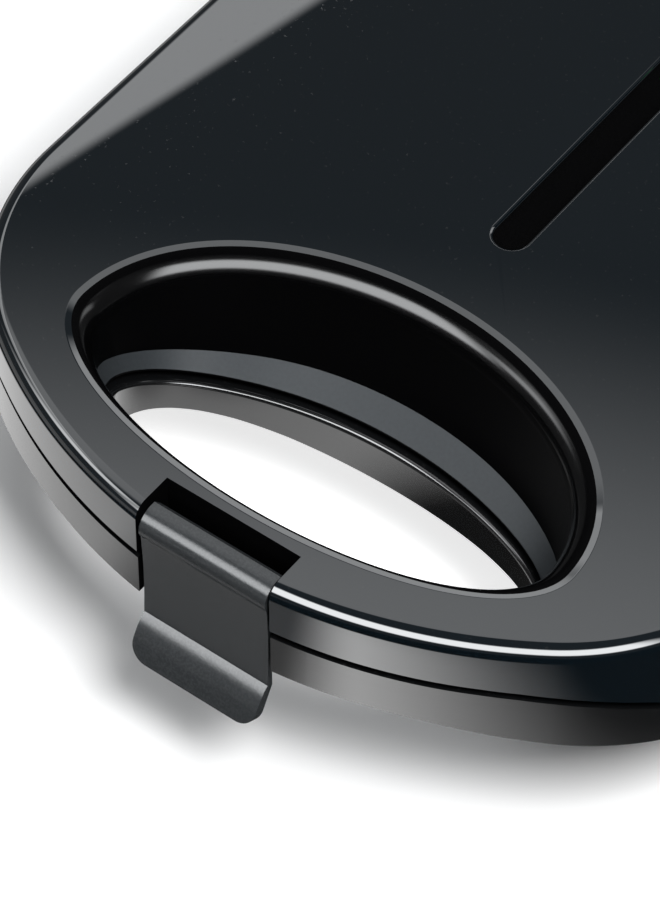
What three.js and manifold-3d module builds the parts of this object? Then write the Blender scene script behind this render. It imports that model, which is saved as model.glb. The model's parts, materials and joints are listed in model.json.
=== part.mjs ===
// Electric sandwich maker with a hand hole, a clip latch and two ribbed cooking plates.
// Millimetres, +Z up. The handle and the latch face -Y, the hinge is at +Y, the feet stand on z = 0.
import * as THREE from 'three';
import { mergeVertices } from 'three/addons/utils/BufferGeometryUtils.js';
import Module from 'manifold-3d';

const wasm = await Module();
wasm.setup();

// Clearances and facet counts that every piece shares
const seat = 0.3; // air between two pieces that rest on each other
const overrun = 6; // how far a cutter runs past the skin that it cuts
const weld = 1e-4; // points closer than this are one point
const arcSteps = 7; // pairs of facets of each arc of the body's outline
const cornerSteps = 3; // pairs of facets of a small rounded corner
const eyeSteps = 38; // facets round the hand hole
const smallRound = 16; // facets round a pin, a bore or a boss
const bendSteps = 4; // facets of a rounded edge
const profileSteps = 12; // facets of the parting line's fall

// The two halves seen from above
const body = { width: 220, depth: 246, cornerRadius: 66, backCornerRadius: 20 };
const frontFlatter = 34; // how much larger the front's radius is than half the width
const bodyHalf = body.width / 2;
const frontY = -body.depth / 2;
const backY = body.depth / 2;

// Heights, from the table up through the plates and the handle to the lid's top
const footHeight = 6;
const partingHeight = 46;
const handle = { rise: 19.2, baseHeight: 14.1, lidHeight: 16.8 };
const handleParting = partingHeight + handle.rise;
const handleUnderside = handleParting - handle.baseHeight;
const lidTop = handleParting + handle.lidHeight;
const partingGap = 1;

// Shells
const lidShell = { roof: 4, edgeRadius: 4 };
const baseShell = { floor: 5, draft: 5, edgeRadius: 3, sideInset: 0.3 };

// The hand hole, an eye that is rounder behind its widest line than before it
const eye = { widest: 46.4, lip: 1.6, lipDrop: 0.6 };
const eyeTop = { half: 71, front: 28.8, back: 49.3 };
const eyeWall = { half: 65, front: 26.8, back: 43.2 }; // the scooped wall below its shoulder
const eyeLid = { half: 62, front: 26.8, back: 31.5 }; // through the lid's ledge
const eyeBase = { half: 60.5, front: 26.2, back: 29.5 }; // through the base
const shoulder = { height: 7, steps: 2 }; // the rounded edge between the lip and the wall
const ledgeThickness = 1.8;
const eyeY = frontY + eye.widest;

// Cooking plates and what holds them
const mouth = { wall: 14.8, side: 6, back: 6, cornerRadius: 8, shelf: 2 };
const mouthFront = eyeY + eyeTop.back + mouth.wall;
const plate = { rim: 4, border: 6, cornerRadius: 22, tubDepth: 14, tubBorder: 5, above: 0.3 };
const pocket = { depth: 10.5, ridge: 5, draft: 4, cornerRadius: 9, border: 4 };
const liner = { thickness: 4, sunk: 0.3, lip: 2, lipBorder: 3, lipRoom: 0.6 };
const element = { radius: 3.3, inset: 26, sideSteps: 8, pathSteps: 32, gapAngle: 0.6 };
const reflector = { sheet: 0.8, flange: 5, border: 12, windowHalfX: 26, windowHalfY: 20 };

// The line between the halves is flat in the handle and falls behind it, down to the plates. The
// base's underside slopes gently below the handle, then falls as a wall before it reaches them.
const fall = { start: 17, beforeMouth: 33.5 };
const belly = { start: 10, beforeMouth: 13, slope: 0.45, wallPower: 6 };
const fallRun = mouthFront - frontY - fall.start - fall.beforeMouth;
const bellyRun = mouthFront - frontY - belly.start - belly.beforeMouth;

// Groove in the lid, above the plates, with the two lamps at its far end
const groove = { width: 11, depth: 2, behindMouth: 8, back: 26 };
const lamp = { radius: 2.6, flange: 3.6, flangeThickness: 1.2, spacing: 16, stand: 0.5, crown: 0.12 };
const neon = { radius: 2.2, length: 7, shoulder: 1.1, crown: 0.3 };

// Screws, all of one kind
const screw = {
  headRadius: 2.7, headFlat: 1.9, headHeight: 1.7, headEdge: 0.85,
  shankRadius: 1.5, slotWidth: 0.8, slotDepth: 0.9, slotReach: 1.6,
};
const linerScrewLength = 9;
const bottomScrewLength = 6.5;
const linerScrewInset = 7.2;
const bossRadius = 7.6;

// Latch clip
const latch = {
  width: 36.8, plate: 2.6, topDrop: 2, bendRadius: 5, sunk: 1, belowBase: 7.4, flare: 11.7, flareAngle: 29,
};
const latchPin = { radius: 1.6, back: 6.2, drop: 6.6, grip: 4, barrel: 3.8 };
const nose = { reach: 2, height: 2.4 };
const catchRib = { reach: 1.5, height: 3 };
const recess = { sideRoom: 1.1, backRoom: 3.4, baseDepth: 8 };
const recessWidth = latch.width + 2 * recess.sideRoom;
const recessDepth = latchPin.back + latchPin.barrel + recess.backRoom;

// Hinge
const hinge = {
  inset: 38, lugWidth: 14, earWidth: 5, radius: 5.5, room: 0.7, pinRadius: 2.5,
  armDrop: 14, armRise: 13, root: 3,
};

// Base fittings
const foot = { radius: 8.5, baseRadius: 7.2, taper: 1.5, inset: 28, behindBelly: 17, back: 20 };
const bottomCover = { inset: 40, front: 11, back: 19, thickness: 2.2, cornerRadius: 6, flange: 8 };
const vent = { count: 7, width: 2.5, length: 34, pitch: 8 };
const thermostat = { radius: 8, height: 5.5, capRadius: 5, capHeight: 1.8 };
const fuse = { radius: 2, length: 14, spacing: 16 };
const terminalBlock = { width: 34, depth: 9, height: 10, ways: 3, screwRadius: 2, screwDepth: 4 };
const gland = { x: 44, z: 26, bore: 3.4, neck: 5.4, innerLength: 3, wall: 7 };
const glandFlange = { radius: 8.2, thickness: 2.2 };
const glandPad = { radius: 10.5, reach: 1.6 };

const finish = {
  gloss: new THREE.MeshStandardMaterial({ color: 0x0d0e0f, roughness: 0.12, metalness: 0 }),
  base: new THREE.MeshStandardMaterial({ color: 0x141516, roughness: 0.22, metalness: 0 }),
  matte: new THREE.MeshStandardMaterial({ color: 0x2b2c2d, roughness: 0.65, metalness: 0 }),
  inner: new THREE.MeshStandardMaterial({ color: 0x1d1e1f, roughness: 0.55, metalness: 0 }),
  nonStick: new THREE.MeshStandardMaterial({ color: 0x232120, roughness: 0.42, metalness: 0.4 }),
  steel: new THREE.MeshStandardMaterial({ color: 0xb9bcc0, roughness: 0.35, metalness: 1 }),
  aluminium: new THREE.MeshStandardMaterial({ color: 0xd0d2d4, roughness: 0.3, metalness: 1 }),
  rubber: new THREE.MeshStandardMaterial({ color: 0x151515, roughness: 0.9, metalness: 0 }),
  ceramic: new THREE.MeshStandardMaterial({ color: 0xe4e0d6, roughness: 0.6, metalness: 0 }),
  red: new THREE.MeshStandardMaterial({ color: 0xb3151a, roughness: 0.15, metalness: 0 }),
  green: new THREE.MeshStandardMaterial({ color: 0x1f9a3c, roughness: 0.15, metalness: 0 }),
  glass: new THREE.MeshStandardMaterial({ color: 0xe8eef0, roughness: 0.05, metalness: 0 }),
};

// Solids

// A closed geometry as a solid, turned right side out.
function solid(geometry) {
  geometry.deleteAttribute('normal');
  geometry.deleteAttribute('uv');
  const merged = mergeVertices(geometry, weld);
  const order = Array.from(merged.index.array);
  const tris = [];
  for (let i = 0; i < order.length; i += 3) {
    const [a, b, c] = order.slice(i, i + 3);
    if (a !== b && b !== c && c !== a) tris.push(a, b, c);
  }
  const build = (triangles) =>
    new wasm.Manifold(
      new wasm.Mesh({
        numProp: 3,
        vertProperties: new Float32Array(merged.attributes.position.array),
        triVerts: new Uint32Array(triangles),
      })
    );
  const made = build(tris);
  return made.volume() < 0 ? build(tris.reverse()) : made;
}

function geometryOf(shape) {
  const mesh = shape.getMesh();
  const geometry = new THREE.BufferGeometry();
  geometry.setAttribute('position', new THREE.BufferAttribute(new Float32Array(mesh.vertProperties), 3));
  geometry.setIndex(new THREE.BufferAttribute(new Uint32Array(mesh.triVerts), 1));
  geometry.computeVertexNormals();
  return geometry;
}

const joined = (shapes) => shapes.reduce((sum, shape) => sum.add(shape));

// A skin through rings of equal count, lowest first, each running anticlockwise from above.
function loft(rings) {
  const count = rings[0].length;
  const index = [];
  for (let level = 0; level < rings.length - 1; level++) {
    for (let i = 0; i < count; i++) {
      const a = level * count + i;
      const b = level * count + ((i + 1) % count);
      index.push(a, b, b + count, a, b + count, a + count);
    }
  }
  const flat = rings[0].map((p) => new THREE.Vector2(p.x, p.y));
  const top = (rings.length - 1) * count;
  for (const [a, b, c] of THREE.ShapeUtils.triangulateShape(flat, [])) {
    index.push(a, c, b, top + a, top + b, top + c);
  }
  const geometry = new THREE.BufferGeometry();
  const positions = rings.flat().flatMap((p) => [p.x, p.y, p.z]);
  geometry.setAttribute('position', new THREE.Float32BufferAttribute(positions, 3));
  geometry.setIndex(index);
  return solid(geometry);
}

const ringAt = (points, z) => points.map((p) => new THREE.Vector3(p.x, p.y, z));

// An outline's points, each point where two curves meet counted once.
function outlinePoints(shape, steps) {
  const points = shape.getPoints(steps);
  return points.filter((point, i) => point.distanceTo(points.at(i - 1)) > weld);
}

// A flat outline from one height to another.
function slab(shape, low, high, steps = cornerSteps) {
  const options = { depth: high - low, bevelEnabled: false, curveSegments: steps };
  const geometry = new THREE.ExtrudeGeometry(shape, options);
  geometry.translate(0, 0, low);
  return solid(geometry);
}

// A side profile, drawn with y across and z up, run along X about a middle.
function acrossX(profile, width, middle = 0, steps = smallRound) {
  const options = { depth: width, bevelEnabled: false, curveSegments: steps };
  const geometry = new THREE.ExtrudeGeometry(profile, options);
  const turn = new THREE.Matrix4().makeBasis(
    new THREE.Vector3(0, 1, 0), new THREE.Vector3(0, 0, 1), new THREE.Vector3(1, 0, 0)
  );
  geometry.applyMatrix4(turn);
  geometry.translate(middle - width / 2, 0, 0);
  return solid(geometry);
}

// A turned piece: pairs of radius and height, from the axis back to the axis.
function turned(pairs, steps = smallRound) {
  const profile = pairs.map(([radius, height]) => new THREE.Vector2(radius, height));
  const geometry = new THREE.LatheGeometry(profile, steps);
  geometry.rotateX(Math.PI / 2);
  return solid(geometry);
}

const post = (radius, low, high, steps = smallRound) =>
  turned([[0, low], [radius, low], [radius, high], [0, high]], steps);

// A post that lies along X or along Y.
const postAlongX = (radius, length, steps = smallRound) =>
  post(radius, -length / 2, length / 2, steps).rotate([0, 90, 0]);
const postAlongY = (radius, near, far, steps = smallRound) =>
  post(radius, -far, -near, steps).rotate([90, 0, 0]);

function box(x0, x1, y0, y1, z0, z1) {
  const geometry = new THREE.BoxGeometry(x1 - x0, y1 - y0, z1 - z0);
  geometry.translate((x0 + x1) / 2, (y0 + y1) / 2, (z0 + z1) / 2);
  return solid(geometry);
}

function polygon(points) {
  return new THREE.Shape(points.map(([x, y]) => new THREE.Vector2(x, y)));
}

function roundedRectangle(halfX, y0, y1, radius) {
  const shape = new THREE.Shape();
  shape.absarc(halfX - radius, y0 + radius, radius, -Math.PI / 2, 0, false);
  shape.absarc(halfX - radius, y1 - radius, radius, 0, Math.PI / 2, false);
  shape.absarc(-halfX + radius, y1 - radius, radius, Math.PI / 2, Math.PI, false);
  shape.absarc(-halfX + radius, y0 + radius, radius, Math.PI, (3 * Math.PI) / 2, false);
  shape.closePath();
  return shape;
}

// Outlines and heights that both halves share

// The body from above, drawn in by an inset: a bowed front, wide front corners and a square back.
function bodyOutline(inset) {
  const { cornerRadius, backCornerRadius } = body;
  const frontRadius = bodyHalf + frontFlatter;
  const frontCentre = frontY + frontRadius;
  const cornerX = bodyHalf - cornerRadius;
  const backCornerX = bodyHalf - backCornerRadius;
  const backCornerY = backY - backCornerRadius;
  const turn = Math.asin(cornerX / (frontRadius - cornerRadius));
  const cornerY = frontCentre - (frontRadius - cornerRadius) * Math.cos(turn);
  const down = -Math.PI / 2;
  const shape = new THREE.Shape();
  shape.absarc(0, frontCentre, frontRadius - inset, down - turn, down + turn, false);
  shape.absarc(cornerX, cornerY, cornerRadius - inset, down + turn, 0, false);
  shape.absarc(backCornerX, backCornerY, backCornerRadius - inset, 0, -down, false);
  shape.absarc(-backCornerX, backCornerY, backCornerRadius - inset, -down, Math.PI, false);
  shape.absarc(-cornerX, cornerY, cornerRadius - inset, Math.PI, Math.PI - down - turn, false);
  shape.closePath();
  return shape;
}

const bodyRing = (inset, z) => ringAt(outlinePoints(bodyOutline(inset), arcSteps), z);

// The parting line's height at a depth, flat in the handle and level between the plates.
function partingAt(y) {
  return handleParting - handle.rise * THREE.MathUtils.smoothstep(y - frontY, fall.start, fall.start + fallRun);
}

function undersideAt(y) {
  const share = THREE.MathUtils.clamp((y - frontY - belly.start) / bellyRun, 0, 1);
  const drop = belly.slope * share + (1 - belly.slope) * share ** belly.wallPower;
  return handleUnderside + (footHeight - handleUnderside) * drop;
}

// Everything above or below a height curve, the width of the body and a little more.
function beyondCurve(heightAt, from, run, lift, end) {
  const points = [[frontY - overrun, heightAt(frontY) + lift]];
  for (let i = 0; i <= profileSteps; i++) {
    const y = frontY + from + (run * i) / profileSteps;
    points.push([y, heightAt(y) + lift]);
  }
  points.push([backY + overrun, heightAt(backY) + lift], [backY + overrun, end], [frontY - overrun, end]);
  return acrossX(polygon(points), body.width + 2 * overrun);
}

// The hand hole's outline at one height, grown by an amount.
function eyeRing(size, z, grow = 0) {
  const ring = [];
  for (let i = 0; i < eyeSteps; i++) {
    const angle = (2 * Math.PI * i) / eyeSteps;
    const reach = Math.sin(angle) > 0 ? size.back : size.front;
    ring.push(
      new THREE.Vector3((size.half + grow) * Math.cos(angle), eyeY + (reach + grow) * Math.sin(angle), z)
    );
  }
  return ring;
}

const recessHalf = recessWidth / 2;
const mouthHalf = bodyHalf - mouth.side;
const mouthBack = backY - mouth.back;
const plateFront = mouthFront + plate.border;
const plateBack = mouthBack - plate.border;
const plateHalf = mouthHalf - plate.border;
const plateMiddle = (plateFront + plateBack) / 2;

const mouthOutline = (inset) =>
  roundedRectangle(mouthHalf - inset, mouthFront + inset, mouthBack - inset, mouth.cornerRadius - inset);
const plateOutline = (inset) =>
  roundedRectangle(plateHalf - inset, plateFront + inset, plateBack - inset, plate.cornerRadius - inset);

const hingeY = backY + hinge.radius + hinge.room;
const hingeX = bodyHalf - hinge.inset;
const hingeSides = { left: -hingeX, right: hingeX };

// Corners where a liner is screwed to its shell
const linerScrewX = mouthHalf - linerScrewInset;
const linerCorners = [-linerScrewX, linerScrewX].flatMap((x) => [
  [x, mouthFront + linerScrewInset],
  [x, mouthBack - linerScrewInset],
]);

// Heights of the pieces stacked away from the parting plane, for one half. The sign is 1 in the
// lid and -1 in the base, so both halves use the same sizes.
const stackedAt = (sign, away) => partingHeight + sign * away;
const shellFace = partingGap / 2;
const linerFace = shellFace + liner.sunk;
const linerBack = linerFace + liner.thickness;
const shelfAway = linerBack + seat;
const plateFace = plate.above;
const rimBack = plateFace + plate.rim;
const lipFace = rimBack + seat;
const lipBack = lipFace + liner.lip;
const tubBack = plateFace + plate.tubDepth;
const elementAway = tubBack + seat + element.radius;
const reflectorFace = elementAway + element.radius + seat;

const between = (sign, near, far) => [stackedAt(sign, near), stackedAt(sign, far)].sort((a, b) => a - b);
const slabBetween = (sign, shape, near, far, steps) => slab(shape, ...between(sign, near, far), steps);

// The room for plate, liner and element inside a half, with the shelf that the liner seats on.
function room(sign, far) {
  const mouthCut = slabBetween(sign, mouthOutline(0), -overrun, shelfAway);
  const deepCut = slabBetween(sign, mouthOutline(mouth.shelf), 0, far);
  const bosses = linerCorners.map(([x, y]) =>
    post(bossRadius, ...between(sign, shelfAway, far + overrun)).translate([x, y, 0])
  );
  const boreHeights = between(sign, 0, linerFace + linerScrewLength + 2 * seat);
  const bores = linerCorners.map(([x, y]) =>
    post(screw.shankRadius + seat, ...boreHeights).translate([x, y, 0])
  );
  return joined([deepCut.subtract(joined(bosses)), mouthCut, ...bores]);
}

// Lid

// The latch's recess, from a height up.
const recessBox = (back, low) => box(-recessHalf, recessHalf, frontY - overrun, back, low, lidTop + overrun);

// The scooped wall's rounded shoulder, from the wall's size up and out to the hole's top size.
function shoulderRings() {
  const rings = [];
  for (let i = 0; i <= shoulder.steps; i++) {
    const angle = (Math.PI / 2) * (i / shoulder.steps);
    const mix = (side) => THREE.MathUtils.lerp(eyeWall[side], eyeTop[side], 1 - Math.cos(angle));
    const size = { half: mix('half'), front: mix('front'), back: mix('back') };
    rings.push(eyeRing(size, lidTop - eye.lipDrop - shoulder.height * (1 - Math.sin(angle))));
  }
  return rings;
}

// Lid cover: the glossy shell with the scooped hand hole, the latch recess and the groove.
function lidCover() {
  const rings = [bodyRing(0, partingHeight - overrun)];
  for (let i = 0; i <= bendSteps; i++) {
    const angle = (Math.PI / 2) * (i / bendSteps);
    const radius = lidShell.edgeRadius;
    rings.push(bodyRing(radius * (1 - Math.cos(angle)), lidTop - radius * (1 - Math.sin(angle))));
  }
  const above = beyondCurve(partingAt, fall.start, fallRun, partingGap / 2, lidTop + overrun);
  const shell = loft(rings).intersect(above);

  const scoop = loft([
    eyeRing(eyeWall, partingHeight),
    ...shoulderRings(),
    eyeRing(eyeTop, lidTop, eye.lip),
    eyeRing(eyeTop, lidTop + overrun, eye.lip),
  ]);
  const ledgeTop = partingGap / 2 + ledgeThickness;
  const aboveLedge = beyondCurve(partingAt, fall.start, fallRun, ledgeTop, lidTop + 2 * overrun);
  const through = loft([eyeRing(eyeLid, partingHeight - overrun), eyeRing(eyeLid, lidTop)]);

  const recessCut = recessBox(frontY + recessDepth, partingHeight);
  const pinBore = postAlongX(latchPin.radius + seat, recessWidth + 2 * latchPin.grip).translate(latchPinAt);
  const hollow = room(1, lidTop - lidShell.roof - partingHeight);

  const lugs = Object.values(hingeSides).map((x) => lidLug(x));
  const bores = Object.values(hingeSides).map((x) => hingeBore(x, hinge.lugWidth));
  const cuts = [
    scoop.intersect(aboveLedge), through, recessCut, pinBore, hollow, grooveCut(), ...lampHoles(), ...bores,
  ];
  return joined([shell, ...lugs]).subtract(joined(cuts));
}

// The groove runs back along the middle of the lid and has round ends.
function grooveCut() {
  const half = groove.width / 2;
  const outline = new THREE.Shape();
  outline.absarc(0, mouthFront + groove.behindMouth + half, half, Math.PI, 2 * Math.PI, false);
  outline.absarc(0, grooveEnd - half, half, 0, Math.PI, false);
  outline.closePath();
  return slab(outline, grooveFloor, lidTop + overrun, smallRound / 2);
}

const grooveEnd = backY - groove.back;
const lampY = [grooveEnd - groove.width, grooveEnd - groove.width - lamp.spacing];
const grooveFloor = lidTop - groove.depth;
const roofUnderside = lidTop - lidShell.roof;

const lampHoles = () =>
  lampY.map((y) => post(lamp.radius + seat, roofUnderside - overrun, lidTop).translate([0, y, 0]));

function lampLens() {
  const flangeTop = roofUnderside - seat;
  const flangeLow = flangeTop - lamp.flangeThickness;
  const top = grooveFloor + lamp.stand;
  return turned([
    [0, flangeLow], [lamp.flange, flangeLow], [lamp.flange, flangeTop], [lamp.radius, flangeTop],
    [lamp.radius, grooveFloor], [lamp.radius * Math.SQRT1_2, top - lamp.crown], [0, top],
  ]);
}

function neonLamp() {
  const top = roofUnderside - lamp.flangeThickness - 2 * seat;
  const pairs = [
    [0, top - neon.length], [neon.radius, top - neon.length], [neon.radius, top - neon.shoulder],
    [neon.radius * Math.SQRT1_2, top - neon.crown], [0, top],
  ];
  return turned(pairs, smallRound / 2);
}

// One knuckle of the lid, between a pair of ears of the base.
function lidLug(x) {
  const low = partingHeight + partingGap / 2;
  const shoulder = hinge.radius * Math.SQRT1_2;
  const arm = polygon([
    [backY - hinge.root, low],
    [hingeY, low],
    [hingeY + shoulder, low + shoulder],
    [backY - hinge.root, low + hinge.armRise],
  ]);
  const knuckle = postAlongX(hinge.radius, hinge.lugWidth, 2 * smallRound);
  return acrossX(arm, hinge.lugWidth, x).add(knuckle.translate([x, hingeY, partingHeight]));
}

// The bore for a hinge pin.
const hingeBore = (x, width) =>
  postAlongX(hinge.pinRadius + seat, width + 2 * overrun).translate([x, hingeY, partingHeight]);

// Liner: the frame round a cooking plate, with a lip behind the plate's rim.
function linerFrame(sign) {
  const posts = (radius, near, far) =>
    joined(linerCorners.map(([x, y]) => post(radius, ...between(sign, near, far)).translate([x, y, 0])));
  const frame = slabBetween(sign, mouthOutline(seat), linerFace, linerBack);
  const lip = slabBetween(sign, plateOutline(-liner.lipBorder), linerBack - liner.thickness / 2, lipBack)
    .subtract(posts(bossRadius + seat, linerBack, lipBack + overrun));
  const rimCut = slabBetween(sign, plateOutline(-seat), -overrun, lipFace);
  const tubCut = slabBetween(sign, plateOutline(plate.tubBorder - liner.lipRoom), 0, lipBack + overrun);
  const holes = posts(screw.shankRadius + seat, 0, lipBack);
  const sinks = posts(screw.headRadius + seat, 0, linerFace + screw.headHeight + seat);
  return frame.add(lip).subtract(joined([rimCut, tubCut, holes, sinks]));
}

// A triangle with round corners, drawn in by an inset. Its corners run anticlockwise.
function roundedTriangle(corners, radius, inset) {
  const shape = new THREE.Shape();
  corners.forEach((corner, i) => {
    const incoming = corner.clone().sub(corners[(i + 2) % 3]).normalize();
    const outgoing = corners[(i + 1) % 3].clone().sub(corner).normalize();
    const inward = outgoing.clone().sub(incoming).normalize();
    const halfAngle = Math.acos(outgoing.dot(inward));
    const centre = corner.clone().addScaledVector(inward, (radius + inset) / Math.sin(halfAngle));
    const from = Math.atan2(incoming.y, incoming.x) - Math.PI / 2;
    shape.absarc(centre.x, centre.y, radius, from, from + incoming.angleTo(outgoing), false);
  });
  shape.closePath();
  return shape;
}

// The four triangular pockets of a plate, which leave a border, a middle rib and two diagonals.
function pocketCuts(sign) {
  const border = plate.tubBorder + pocket.border;
  const near = pocket.ridge / 2;
  const far = plateHalf - border;
  const front = plateFront + border;
  const back = plateBack - border;
  const diagonal = Math.hypot(far - near, back - front);
  const legX = far - near - (pocket.ridge * diagonal) / (back - front) / 2;
  const legY = back - front - (pocket.ridge * diagonal) / (far - near) / 2;
  const cuts = [];
  for (const side of [-1, 1]) {
    const triangles = [
      [[near, back], [near, back - legY], [near + legX, back]],
      [[far, front], [far, front + legY], [far - legX, front]],
    ];
    for (const triangle of triangles) {
      const corners = triangle.map(([x, y]) => new THREE.Vector2(side * x, y));
      if (side < 0) corners.reverse();
      const points = (inset) =>
        outlinePoints(roundedTriangle(corners, pocket.cornerRadius, inset), cornerSteps);
      const rings = [
        ringAt(points(0), stackedAt(sign, -overrun)),
        ringAt(points(0), stackedAt(sign, plateFace)),
        ringAt(points(pocket.draft), stackedAt(sign, plateFace + pocket.depth)),
      ];
      cuts.push(loft(sign > 0 ? rings : rings.reverse()));
    }
  }
  return cuts;
}

// Cooking plate: a cast rim with a tub behind it and the pockets cut into its face.
function cookingPlate(sign) {
  const rim = slabBetween(sign, plateOutline(0), plateFace, rimBack);
  const tub = slabBetween(sign, plateOutline(plate.tubBorder), plateFace, tubBack);
  return rim.add(tub).subtract(joined(pocketCuts(sign)));
}

// Heating element: one tube bent into a loop, open at the back for its two ends.
function heatingElement(sign) {
  const halfX = plateHalf - element.inset;
  const halfY = (plateBack - plateFront) / 2 - element.inset;
  const z = stackedAt(sign, elementAway);
  const squared = (value) => Math.sign(value) * Math.sqrt(Math.abs(value));
  const corners = element.pathSteps / 2;
  const points = [];
  for (let i = 0; i <= corners; i++) {
    const angle = (Math.PI + element.gapAngle) / 2 + ((2 * Math.PI - element.gapAngle) * i) / corners;
    const x = halfX * squared(Math.cos(angle));
    const y = plateMiddle + halfY * squared(Math.sin(angle));
    points.push(new THREE.Vector3(x, y, z));
  }
  const section = new THREE.Shape();
  section.absarc(0, 0, element.radius, 0, 2 * Math.PI, false);
  const options = {
    steps: element.pathSteps,
    curveSegments: element.sideSteps / 2,
    bevelEnabled: false,
    extrudePath: new THREE.CatmullRomCurve3(points, false, 'centripetal'),
  };
  return solid(new THREE.ExtrudeGeometry(section, options));
}

// Reflector: a pressed tray behind the element, its flange turned towards the plate.
function reflectorTray(sign) {
  const { border, sheet, flange, windowHalfX, windowHalfY } = reflector;
  const sheetBack = reflectorFace + sheet;
  const rimFace = reflectorFace - flange;
  const tray = slabBetween(sign, plateOutline(border), rimFace, sheetBack);
  const inside = slabBetween(sign, plateOutline(border + sheet), rimFace - overrun, reflectorFace);
  const window = roundedRectangle(windowHalfX, plateMiddle - windowHalfY, plateMiddle + windowHalfY, flange);
  return tray.subtract(inside).subtract(slabBetween(sign, window, 0, sheetBack + overrun));
}

// A screw with its head towards -Z and a cross in the head, its tip towards +Z.
function screwSolid(length) {
  const { headRadius, headFlat, headEdge, headHeight, shankRadius, slotWidth, slotDepth, slotReach } = screw;
  const pairs = [
    [0, 0], [headFlat, 0], [headRadius, headEdge], [headRadius, headHeight],
    [shankRadius, headHeight], [shankRadius, length - shankRadius], [0, length],
  ];
  const slot = box(-slotReach, slotReach, -slotWidth / 2, slotWidth / 2, -slotDepth, slotDepth);
  return turned(pairs, smallRound / 2).subtract(slot.add(slot.rotate([0, 0, 90])));
}

// Latch

const latchPinAt = [0, frontY + latchPin.back, lidTop - latchPin.drop];

// Latch clip: a barrel on the pin, a rounded top, a flat front, a small nose and a flared pull tab.
function latchClip() {
  const [, pinY, pinZ] = latchPinAt;
  const outerY = frontY + latch.sunk;
  const innerY = outerY + latch.plate;
  const top = lidTop - latch.topDrop;
  const crease = handleUnderside - latch.belowBase;
  const noseTop = handleUnderside - seat;
  const angle = THREE.MathUtils.degToRad(latch.flareAngle);
  const tabY = outerY - latch.flare * Math.sin(angle);
  const tabZ = crease - latch.flare * Math.cos(angle);
  const backEdge = pinY + latchPin.barrel * Math.SQRT1_2;
  const profile = new THREE.Shape();
  profile.moveTo(backEdge, top);
  profile.lineTo(outerY + latch.bendRadius, top);
  profile.absarc(outerY + latch.bendRadius, top - latch.bendRadius, latch.bendRadius, Math.PI / 2, Math.PI);
  profile.lineTo(outerY, crease);
  profile.lineTo(tabY, tabZ);
  profile.lineTo(tabY + latch.plate * Math.cos(angle), tabZ - latch.plate * Math.sin(angle));
  profile.lineTo(innerY, crease - latch.plate * Math.tan(angle / 2));
  profile.lineTo(innerY, noseTop - nose.height);
  profile.lineTo(innerY + nose.reach, noseTop - nose.height / 2);
  profile.lineTo(innerY + nose.reach, noseTop);
  profile.lineTo(innerY, noseTop);
  profile.lineTo(innerY, pinZ - latchPin.barrel);
  profile.lineTo(pinY, pinZ - latchPin.barrel);
  profile.lineTo(backEdge, pinZ);
  profile.closePath();
  const clip = acrossX(profile, latch.width, 0, bendSteps);
  const barrel = postAlongX(latchPin.barrel, latch.width).translate(latchPinAt);
  const bore = postAlongX(latchPin.radius + seat, latch.width + 2 * overrun).translate(latchPinAt);
  return clip.add(barrel).subtract(bore);
}

const latchPinSolid = () =>
  postAlongX(latchPin.radius, recessWidth + 2 * latchPin.grip - 2 * seat).translate(latchPinAt);

// Base

const baseFloorTop = footHeight + baseShell.floor;

// Base cover: the lower shell with its half of the handle, the hinge ears and the cord's pad.
function baseCover() {
  const { draft, edgeRadius, sideInset } = baseShell;
  const rings = [];
  for (let i = 0; i <= bendSteps; i++) {
    const angle = (Math.PI / 2) * (i / bendSteps);
    const inset = sideInset + draft + edgeRadius * (1 - Math.sin(angle));
    rings.push(bodyRing(inset, footHeight + edgeRadius * (1 - Math.cos(angle))));
  }
  rings.push(bodyRing(sideInset, partingHeight - overrun), bodyRing(sideInset, handleParting + overrun));
  const below = beyondCurve(partingAt, fall.start, fallRun, -partingGap / 2, footHeight - overrun);
  const aboveBelly = beyondCurve(undersideAt, belly.start, bellyRun, 0, lidTop);
  const shell = loft(rings).intersect(below).intersect(aboveBelly);

  const hole = loft([eyeRing(eyeBase, footHeight), eyeRing(eyeBase, lidTop)]);
  const recessFront = frontY + recess.baseDepth;
  const recessCut = recessBox(recessFront, footHeight);
  const ribTop = handleUnderside + catchRib.height;
  const ribProfile = polygon([
    [recessFront - catchRib.reach, handleUnderside],
    [recessFront + catchRib.reach, handleUnderside],
    [recessFront + catchRib.reach, ribTop],
    [recessFront, ribTop],
    [recessFront - catchRib.reach, ribTop - catchRib.reach],
  ]);
  const rib = acrossX(ribProfile, recessWidth + catchRib.reach);
  const hollow = room(-1, partingHeight - baseFloorTop);
  const opening = coverOutline(-bottomCover.flange, bottomCover.cornerRadius);
  const rebate = coverOutline(seat, bottomCover.cornerRadius + seat);
  const bottomCuts = [
    slab(opening, footHeight - overrun, baseFloorTop + overrun),
    slab(rebate, footHeight - overrun, footHeight + bottomCover.thickness + seat),
    ...bottomScrewPlaces.map(([x, y]) =>
      post(screw.shankRadius + seat, footHeight, baseFloorTop + overrun).translate([x, y, 0])
    ),
  ];
  const glandPlace = [gland.x, 0, gland.z];
  const pad = postAlongY(glandPad.radius, backY - gland.wall, padFace, 2 * smallRound);
  const glandBore = postAlongY(gland.neck + seat, backY - gland.wall - overrun, backY + overrun);
  const ears = Object.values(hingeSides).flatMap((x) => baseEars(x));
  const earBores = Object.values(hingeSides).map((x) => hingeBore(x, hinge.lugWidth + 2 * hinge.earWidth));
  const cuts = [hole, recessCut, hollow, ...bottomCuts];
  const moulding = shell.add(pad.translate(glandPlace)).subtract(joined(cuts));
  return joined([moulding, rib, ...ears]).subtract(joined([glandBore.translate(glandPlace), ...earBores]));
}

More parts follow.
